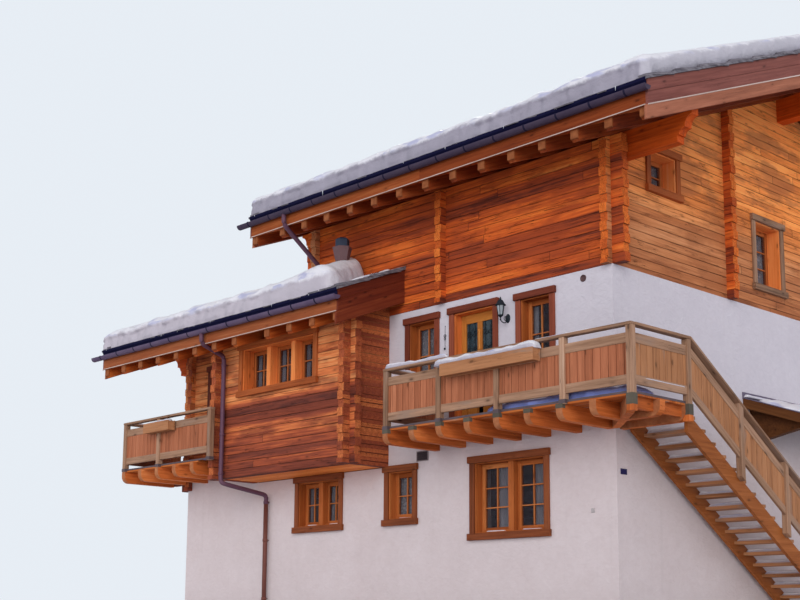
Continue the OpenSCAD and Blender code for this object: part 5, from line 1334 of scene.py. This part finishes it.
frames, linings, leaves, panes = [Boards() for k in range(4)]
for wall, along, sill, wide, high, reveal, kind in doorRows:
    place = walls[wall] @ placed((along, 0, sill))
    lining, y0 = windowParts["lining"], windowParts[reveal]
    y1 = y0 + windowParts["thick"]
    casingBoards(frames, linings, place, wide, high, y1, False)
    x0, x1, top = lining + 0.003, wide - lining - 0.003, high - lining - 0.003
    if kind == "glazed":
        turnedPost = glazedLeaf(leaves, panes, place, x0, x1, top, y0, y1)
    else:
        step = (x1 - x0) / doorSet["planks"]
        for k in range(doorSet["planks"]):
            a, b = x0 + k * step + 0.002, x0 + (k + 1) * step - 0.002
            leaves.add((a, y0 + 0.01, 0.005), (b, y1, top), "z", place)
        for z0 in (0.16, 0.98, top - 0.26):
            leaves.add((x0 + 0.012, y0 - 0.014, z0), (x1 - 0.012, y0 + 0.01, z0 + 0.12), "x", place)
    # Handle: a rose, a neck and a bent bar.
    handle = spotIn(place, x1 - 0.055, y0 - 0.006, doorSet["handleUp"])
    u, v = place[:3, 0], place[:3, 1]
    bar = [handle, handle - v * 0.035, handle - v * 0.045 - u * 0.02, handle - v * 0.045 - u * 0.12]
    doorIron.append(tube(bar, 0.008, 8))
    ring, roseFaces = turned([(0.024, 0.0), (0.024, 0.006), (0.012, 0.01)], (0, 0, 0), 12)
    doorIron.append((handle + ring[:, :1] * u + ring[:, 1:2] * np.array([0, 0, 1.0]) - ring[:, 2:] * v,
                     [f[::-1] for f in roseFaces] if wall == "right" else roseFaces))
for boards, name, wood in ((frames, "door_frames", "casing"), (linings, "door_reveals", "reveal"),
                           (leaves, "door_leaves", "honey")):
    boards.make(name, woods[wood], "door_wood", 0.004, ["doors"])
addPiece("door_turned_post", turnedPost, woods["honey"], "door_wood", True,
         tone=np.full(len(turnedPost[0]), 0.9), grain=turnedPost[0][:, [2, 0, 1]])
doorGlass = glassLook("leaded door glass", (0.02, 0.038, 0.05), (0.06, 0.09, 0.105), 0.82)
panes.make("door_panes", doorGlass, "pane", 0, ["doors"])
addPiece("door_iron", merged(doorIron), blackIron, "gutter_metal", True)

# Flower boxes: single broad planks on cleats.
boxSet = {"rows": [((-2.43, -1.44, floorHigh + 0.65), 1.99), ((-11.13, -1.44, leftHigh + 0.65), 0.92)],
          "wide": 0.18, "high": 0.2, "thick": 0.022}
boxBoards = Boards()
t, wide, high = boxSet["thick"], boxSet["wide"], boxSet["high"]
for origin, long in boxSet["rows"]:
    place = placed(origin)
    boxBoards.add((0, 0, 0), (long, t, high), "x", place, 0.55)
    boxBoards.add((0, wide - t, 0), (long, wide, high), "x", place)
    for x0 in (0.012, long - t - 0.012):
        boxBoards.add((x0, t, 0.004), (x0 + t, wide - t, high - 0.008), "y", place)
    boxBoards.add((t, t, 0.004), (long - t, wide - t, t), "x", place)
boxBoards.make("flower_box_planks", woods["box"], "grey_timber", 0.004, ["flower_boxes"])

# Thin sheet along the decks' edge, a small shoe at every post and the side run's sheet.
deckEdge, deckParts = -1.2, []
deckFold = [(-0.006, -0.03), (0.001, -0.03), (0.001, -0.001), (0.06, -0.001), (0.06, 0.003),
            (-0.006, 0.003)]
for x0, x1, z in ((-3.85, 1.2, floorHigh), (-12.06, -9.1, leftHigh)):
    deckParts.append(stripAlong([(deckEdge + a, z + b) for a, b in deckFold], x0, x1))
side, sideFaces = stripAlong(deckFold, -1.2, 0.23)
deckParts.append((np.stack([1.2 - side[:, 1], side[:, 0], floorHigh + side[:, 2]], -1), sideFaces))
for z, posts in ((floorHigh, (-3.96, -2.698, -1.417, -0.085)), (leftHigh, (-12.17, -10.89, -9.095))):
    deckParts += [block([x - 0.006, -1.266, z - 0.05], [x + 0.111, -1.148, z + 0.01]) for x in posts]
tails, tailWood = [], Boards()
for y0, y1 in ((-1.266, -1.149), (0.119, 0.236)):
    tails.append(block([1.149, y0, floorHigh - 0.205], [1.266, y1, floorHigh - 0.04]))
    tailWood.add((1.151, y0 + 0.002, floorHigh - 0.299), (1.264, y1 - 0.002, floorHigh - 0.2), "z")
for x in [-0.152 - bracketPitch * k for k in range(7)]:
    tails.append(block([x - 0.004, -1.265, floorHigh - 0.118], [x + 0.129, -1.19, floorHigh - 0.05]))
tailWood.make("post_tail_wood", woods["bracket"], "warm_timber", 0.004)
mossySheet = sheetMetal("mossy sheet", (0.06, 0.05, 0.036), (0.15, 0.128, 0.092), 0.7, 0.0)
addPiece("post_tail_sheet", merged(tails), mossySheet, "gutter_metal")
addPiece("deck_edge_sheet", merged(deckParts), edgeSheet, "gutter_metal")


# Downpipes: round pipe with bends of a quarter ellipse at every corner, collars and wall clips.
def bent(corners, soft=0.1, steps=7):
    # Each inner corner b becomes (1-t)^2 a + 2t(1-t) b + t^2 c, from soft before it to soft after it.
    corners = np.asarray(corners, float)
    path = [corners[0]]
    t = np.linspace(0, 1, steps)[:, None]
    for a, b, c in zip(corners[:-2], corners[1:-1], corners[2:]):
        before, after = [b + (q - b) * min(soft / np.linalg.norm(q - b), 0.45) for q in (a, c)]
        path += list((1 - t) ** 2 * before + 2 * t * (1 - t) * b + t ** 2 * after)
    return np.array(path + [corners[-1]])


pipeSet = {"radius": 0.045, "collar": 0.053, "collarLong": 0.05}
# Each piece: paint, its pipes' corners, its collars.
pipeRows = {
    "upper": (pipeSheet,
              [[(-8.76, -1.692, 5.346), (-8.76, -1.692, 5.131), (-8.88, -1.047, 4.971), (-8.88, -1.047, 2.47),
                (-8.82, -1.017, 2.42), (-8.645, -0.09, 2.25), (-8.645, -0.09, 2.1)],
               [(-6.893, -1.175, 7.471), (-6.893, -1.175, 7.256), (-7.09, -0.09, 6.656),
                (-7.09, -0.09, 6.214)]],
              [(-8.88, -1.047, 4.8), (-8.88, -1.047, 3.4), (-8.88, -1.047, 2.62), (-8.645, -0.09, 2.1),
               (-7.09, -0.09, 6.45)]),
    "lower": (lowPipeSheet,
              [[(-8.645, -0.09, 2.1), (-8.645, -0.09, -0.45)]],
              [(-8.645, -0.09, 1.35), (-8.645, -0.09, 0.2)]),
}
r, long = pipeSet["collar"], pipeSet["collarLong"]
collar = [(0.046, -long * 0.6), (r, -long * 0.5), (r, long * 0.5), (0.046, long * 0.6)]
for run, (material, runs, collars) in pipeRows.items():
    parts = [tube(bent(corners), pipeSet["radius"], 16) for corners in runs]
    for x, y, z in collars:
        parts += [turned(collar, (x, y, z), 16), tube([(x, y + 0.04, z), (x, y + 0.088, z)], 0.008, 6)]
    addPiece(run + "_downpipes", merged(parts), material, "pipe_metal", True, ["downpipes"])

# Flue: round shaft with a seam, six-sided flare and cap, both counted from the shaft's top.
flueSet = {"x": -5.95, "y": -0.5, "tall": 0.52, "shaft": 0.12, "flare": 0.187, "cap": 0.135}
flueFoot = float(slopeHigh(roofs["annex"]["z"], flueSet["y"])) + coverHigh
flueTop = flueFoot + flueSet["tall"]
at = (flueSet["x"], flueSet["y"], 0.0)
shaft, flare, cap = flueSet["shaft"], flueSet["flare"], flueSet["cap"]
pipeRings = [(shaft, flueFoot - 0.06), (shaft, flueFoot + 0.2), (shaft + 0.004, flueFoot + 0.205),
          (shaft + 0.004, flueFoot + 0.235), (shaft, flueFoot + 0.24), (shaft, flueTop)]
spread = [(shaft + 0.004, -0.075), (shaft + 0.01, -0.06), (flare - 0.004, 0.17), (flare, 0.18),
          (flare, 0.205), (flare - 0.02, 0.21)]
lid = [(cap - 0.01, 0.208), (cap, 0.214), (cap, 0.345), (cap + 0.006, 0.355), (cap, 0.362),
       (cap * 0.7, 0.389)]
spread, lid = [[(r, flueTop + z) for r, z in rows] for rows in (spread, lid)]
flueSheet = sheetMetal("flue enamel", (0.09, 0.045, 0.05), (0.19, 0.11, 0.115), 0.5, 0.2)
flue = merged([turned(pipeRings, at, 24), turned(spread, at, 6)])
addPiece("flue_shaft", flue, flueSheet, "gutter_metal", False, ["flue"])
capSheet = sheetMetal("flue cap", (0.022, 0.032, 0.062), (0.05, 0.062, 0.095), 0.5, 0.3)
addPiece("flue_cap", turned(lid, at, 6), capSheet, "gutter_metal", False, ["flue"])

# Canopy: sheet on its top, an upstand along the wall and a verge board at each end.
spot = canopySet
slant = placed((0, spot["y0"], spot["top"]), (1, 0, canopySlope), (0, 1, 0))
long, canopyBoards = spot["y1"] - spot["y0"], Boards()
for y in (-0.02, long):
    canopyBoards.add((0.004, y, -spot["board"] - 0.02), (spot["out"] - 0.002, y + 0.02, -0.006), "x", slant,
                     0.6)
canopyBoards.make("canopy_verge_boards", woods["umber"], "warm_timber", 0.003)
cover, coverFaces = block([0.004, -0.026, 0.0], [spot["out"] + 0.004, long + 0.026, 0.014])
upstand = block([0.001, spot["y0"] - 0.03, spot["top"] - 0.02],
                [0.016, spot["y1"] + 0.03, spot["top"] + 0.105])
addPiece("canopy_sheet", merged([(cover @ slant[:3, :3].T + slant[:3, 3], coverFaces), upstand]),
         sheetMetal("canopy sheet", (0.1, 0.08, 0.125), (0.18, 0.15, 0.215), 0.6, 0.1), "gutter_metal")

# Lantern: six panes in an iron frame with a bell-shaped roof, on a scrolled arm from an oval wall plate.
lampSet = {
    "at": (-2.215, -0.19, 4.79), "low": (0.042, 0.062), "top": (0.068, 0.232),
    "cup": [(0.002, -0.03), (0.01, -0.022), (0.014, -0.01), (0.008, 0.004), (0.012, 0.022), (0.026, 0.04),
            (0.05, 0.054), (0.05, 0.066), (0.042, 0.07)],
    "bell": [(0.072, 0.226), (0.096, 0.232), (0.094, 0.24), (0.076, 0.256), (0.06, 0.286), (0.044, 0.312),
             (0.04, 0.322), (0.022, 0.33), (0.014, 0.342), (0.019, 0.352), (0.01, 0.366), (0.003, 0.384)],
    "plate": [(0.052, 0.0), (0.052, 0.008), (0.04, 0.016), (0.02, 0.02), (0.006, 0.026)],
    "panes": [(0.04, 0.068), (0.066, 0.228)],
}
lampAt = np.array(lampSet["at"])
lampX, lampY, lampZ = lampAt
turn = np.arange(6) * math.pi / 3
lowRing, topRing = [np.stack([r * np.cos(turn), r * np.sin(turn), 0 * turn + z], -1) + lampAt
                    for r, z in (lampSet["low"], lampSet["top"])]
iron = [tube([a, b], 0.006, 6) for a, b in zip(lowRing, topRing)]
iron += [turned(lampSet[key], lampAt, 12) for key in ("cup", "bell")]
reach = np.linspace(0, 1, 14)
iron.append(tube(np.stack([0 * reach + lampX, lampY + 0.19 * reach,
                           lampZ - 0.02 - 0.055 * np.sin(reach * math.pi) + 0.04 * reach], -1), 0.0085, 8))
curl = reach * 2.6 * math.pi
iron.append(tube(np.stack([0 * reach + lampX, -0.075 + (0.012 + 0.03 * reach) * np.cos(curl),
                           lampZ + 0.02 + (0.012 + 0.03 * reach) * np.sin(curl)], -1), 0.006, 6))
disc, discFaces = turned(lampSet["plate"], (0, 0, 0), 24)
iron.append((np.stack([disc[:, 0] + lampX, -disc[:, 2], disc[:, 1] * 1.5 + lampZ + 0.035], -1), discFaces))
addPiece("lantern_frame", merged(iron), blackIron, "lantern_metal", True, ["lantern"])
lampGlass = glassLook("lantern glass", (0.36, 0.42, 0.45), (0.58, 0.64, 0.68), 0.72)
addPiece("lantern_panes", turned(lampSet["panes"], lampAt, 6), lampGlass, "pane", False, ["lantern"])

# Small fittings: round vent, framed grille, socket cover, a bare plate and a thin hanging ornament.
rings = [(0.058, 0.0), (0.058, 0.012), (0.047, 0.016), (0.043, 0.004), (0.015, 0.004)]
disc, discFaces = turned(rings, (0, 0, 0), 24)
addPiece("wall_vent", (np.stack([disc[:, 0] - 0.585, -disc[:, 2], disc[:, 1] + 5.22], -1), discFaces),
         sheetMetal("vent metal", (0.07, 0.034, 0.034), (0.15, 0.085, 0.085), 0.5, 0.3), "gutter_metal", True)
slats, slatFrame, socket, plate = [Boards() for k in range(4)]
slats.add((-4.41, -0.005, 2.57), (-4.12, 0.0, 2.75), "x")
for k in range(4):
    slats.add((-4.395, -0.014, 2.592 + k * 0.036), (-4.135, -0.004, 2.608 + k * 0.036), "x")
for x in (-4.41, -4.135):
    slatFrame.add((x, -0.018, 2.57), (x + 0.015, -0.004, 2.75), "z")
for z in (2.57, 2.735):
    slatFrame.add((-4.395, -0.018, z), (-4.135, -0.004, z + 0.015), "x")
frameSheet = sheetMetal("grille frame", (0.2, 0.15, 0.155), (0.32, 0.26, 0.265), 0.5, 0.2)
slatFrame.make("air_grille", frameSheet, "gutter_metal", 0.002)
slatSheet = sheetMetal("grille slats", (0.03, 0.02, 0.026), (0.075, 0.055, 0.062), 0.5, 0.3)
slats.make("grille_slats", slatSheet, "gutter_metal", 0.002)
socket.add((-0.5, -0.02, 1.435), (-0.435, 0.0, 1.505), "x")
socket.add((-0.49, -0.026, 1.445), (-0.445, -0.02, 1.495), "x")
paleCover = sheetMetal("pale cover", (0.42, 0.38, 0.38), (0.56, 0.52, 0.52), 0.5, 0.0)
socket.make("socket_cover", paleCover, "gutter_metal", 0.003)
plate.add((0.0, 0.09, 2.01), (0.008, 0.25, 2.1), "y")
enamel = sheetMetal("enamel plate", (0.006, 0.005, 0.06), (0.02, 0.018, 0.1), 0.3, 0.0)
plate.make("bare_plate", enamel, "gutter_metal", 0.002)
hangAt = -3.7
drop = np.linspace(0, 1, 30)
hanging = [tube(np.stack([0 * drop + hangAt, 0 * drop - 0.012, 4.93 - 0.4 * drop], -1), 0.003, 5)]
for way in (1, -1):
    swing = hangAt + way * 0.03 * np.sin(drop * 2.2 * math.pi) * (1 - 0.4 * drop)
    hanging.append(tube(np.stack([swing, 0 * drop - 0.014, 4.78 - 0.11 * drop], -1), 0.004, 5))
weight = [(0.002, 0.0), (0.014, 0.006), (0.019, 0.02), (0.014, 0.034), (0.002, 0.04)]
hanging.append(turned(weight, (hangAt, -0.02, 4.5), 10))
hanging.append(tube([(hangAt, -0.012, 4.93), (hangAt, 0.0, 4.93)], 0.006, 6))
addPiece("hanging_ornament", merged(hanging), blackIron, "gutter_metal", True)
print("fittings done")


# Stage: pale floor, a weak sun from behind, a soft one from the viewer's side and the photograph's camera.
stageSet = {"floor": 90.0, "skyLow": 1.02, "skyHigh": 0.36, "skyColour": (0.93, 0.93, 1.04),
            "background": (0.8, 0.85, 0.91), "lens": 59.74, "film": 36.0, "shift": 0.125,
            "eye": (18.196, -21.719, 0.105), "turn": 46.51, "tilt": 9.72, "roll": 0.367}
lamps = {"back sun": {"to": (-0.6, 0.6, 0.5), "power": 0.75, "soft": 6, "colour": (1.0, 0.97, 0.92)},
         "front fill": {"to": (0.62, -0.79, 0.25), "power": 1.55, "soft": 50, "colour": (1.0, 0.98, 0.96)}}
floorLook = Look("pale floor")
cloud = floorLook.noise(floorLook.place, 0.12, 3.0)
floorColour = floorLook.ramp(cloud, [(0.2, (0.74, 0.75, 0.77)), (0.8, (0.78, 0.79, 0.81))])
floorMaterial = floorLook.finish(floorColour, 0.9)
half = stageSet["floor"]
floorMesh = bpy.data.meshes.new("floor")
floorCorners = [(-half, -half, 0), (half, -half, 0), (half, half, 0), (-half, half, 0)]
floorMesh.from_pydata(floorCorners, [], [(0, 1, 2, 3)])
floorMesh.materials.append(floorMaterial)
staged = [bpy.data.objects.new("floor", floorMesh)]
for name, lamp in lamps.items():
    light = bpy.data.lights.new(name, "SUN")
    light.energy, light.angle, light.color = lamp["power"], math.radians(lamp["soft"]), lamp["colour"]
    staged.append(bpy.data.objects.new(name, light))
    staged[-1].rotation_euler = Vector(lamp["to"]).to_track_quat("Z", "Y").to_euler()
for one in staged:
    bpy.context.scene.collection.objects.link(one)

world = bpy.data.worlds.new("sky")
bpy.context.scene.world = world
sky = Look("sky", world)
rays = sky.node("ShaderNodeLightPath", {}, {}).socket.node.outputs
seen, passed, mirrored = [Wire(sky, rays["Is " + key + " Ray"])
                          for key in ("Camera", "Transmission", "Glossy")]
plain = sky.maths("MAXIMUM", sky.maths("MAXIMUM", seen, passed), mirrored)
# Light of the sky: skyLow at the horizon falling to skyHigh overhead, by the height of the direction.
upward = sky.split(Wire(sky, sky.coords.outputs["Generated"]))[2]
strength = sky.node("ShaderNodeMapRange", {}, {0: upward, 1: 0.0, 2: 0.8, 3: stageSet["skyLow"],
                    4: stageSet["skyHigh"]})
lightSide, viewSide = [sky.node("ShaderNodeBackground", {}, {"Color": (*stageSet[key], 1), "Strength": power})
                       for key, power in (("skyColour", strength), ("background", 1.0))]
blend = sky.node("ShaderNodeMixShader", {}, {0: plain, 1: lightSide, 2: viewSide})
sky.node("ShaderNodeOutputWorld", {}, {"Surface": blend})

turn, tilt, roll = (math.radians(stageSet[key]) for key in ("turn", "tilt", "roll"))
ahead = Vector((-math.sin(turn) * math.cos(tilt), math.cos(turn) * math.cos(tilt), math.sin(tilt)))
right = Vector((math.cos(turn), math.sin(turn), 0))
up = right.cross(ahead)
right, up = right * math.cos(roll) + up * math.sin(roll), up * math.cos(roll) - right * math.sin(roll)
lensData = bpy.data.cameras.new("camera")
lensData.lens, lensData.sensor_width, lensData.shift_y = stageSet["lens"], stageSet["film"], stageSet["shift"]
camera = bpy.data.objects.new("camera", lensData)
stance = Matrix((right, up, -ahead)).transposed().to_4x4()
camera.matrix_world = Matrix.Translation(Vector(stageSet["eye"])) @ stance
bpy.context.scene.collection.objects.link(camera)
bpy.context.scene.camera = camera
bpy.context.scene.view_settings.view_transform = "Standard"
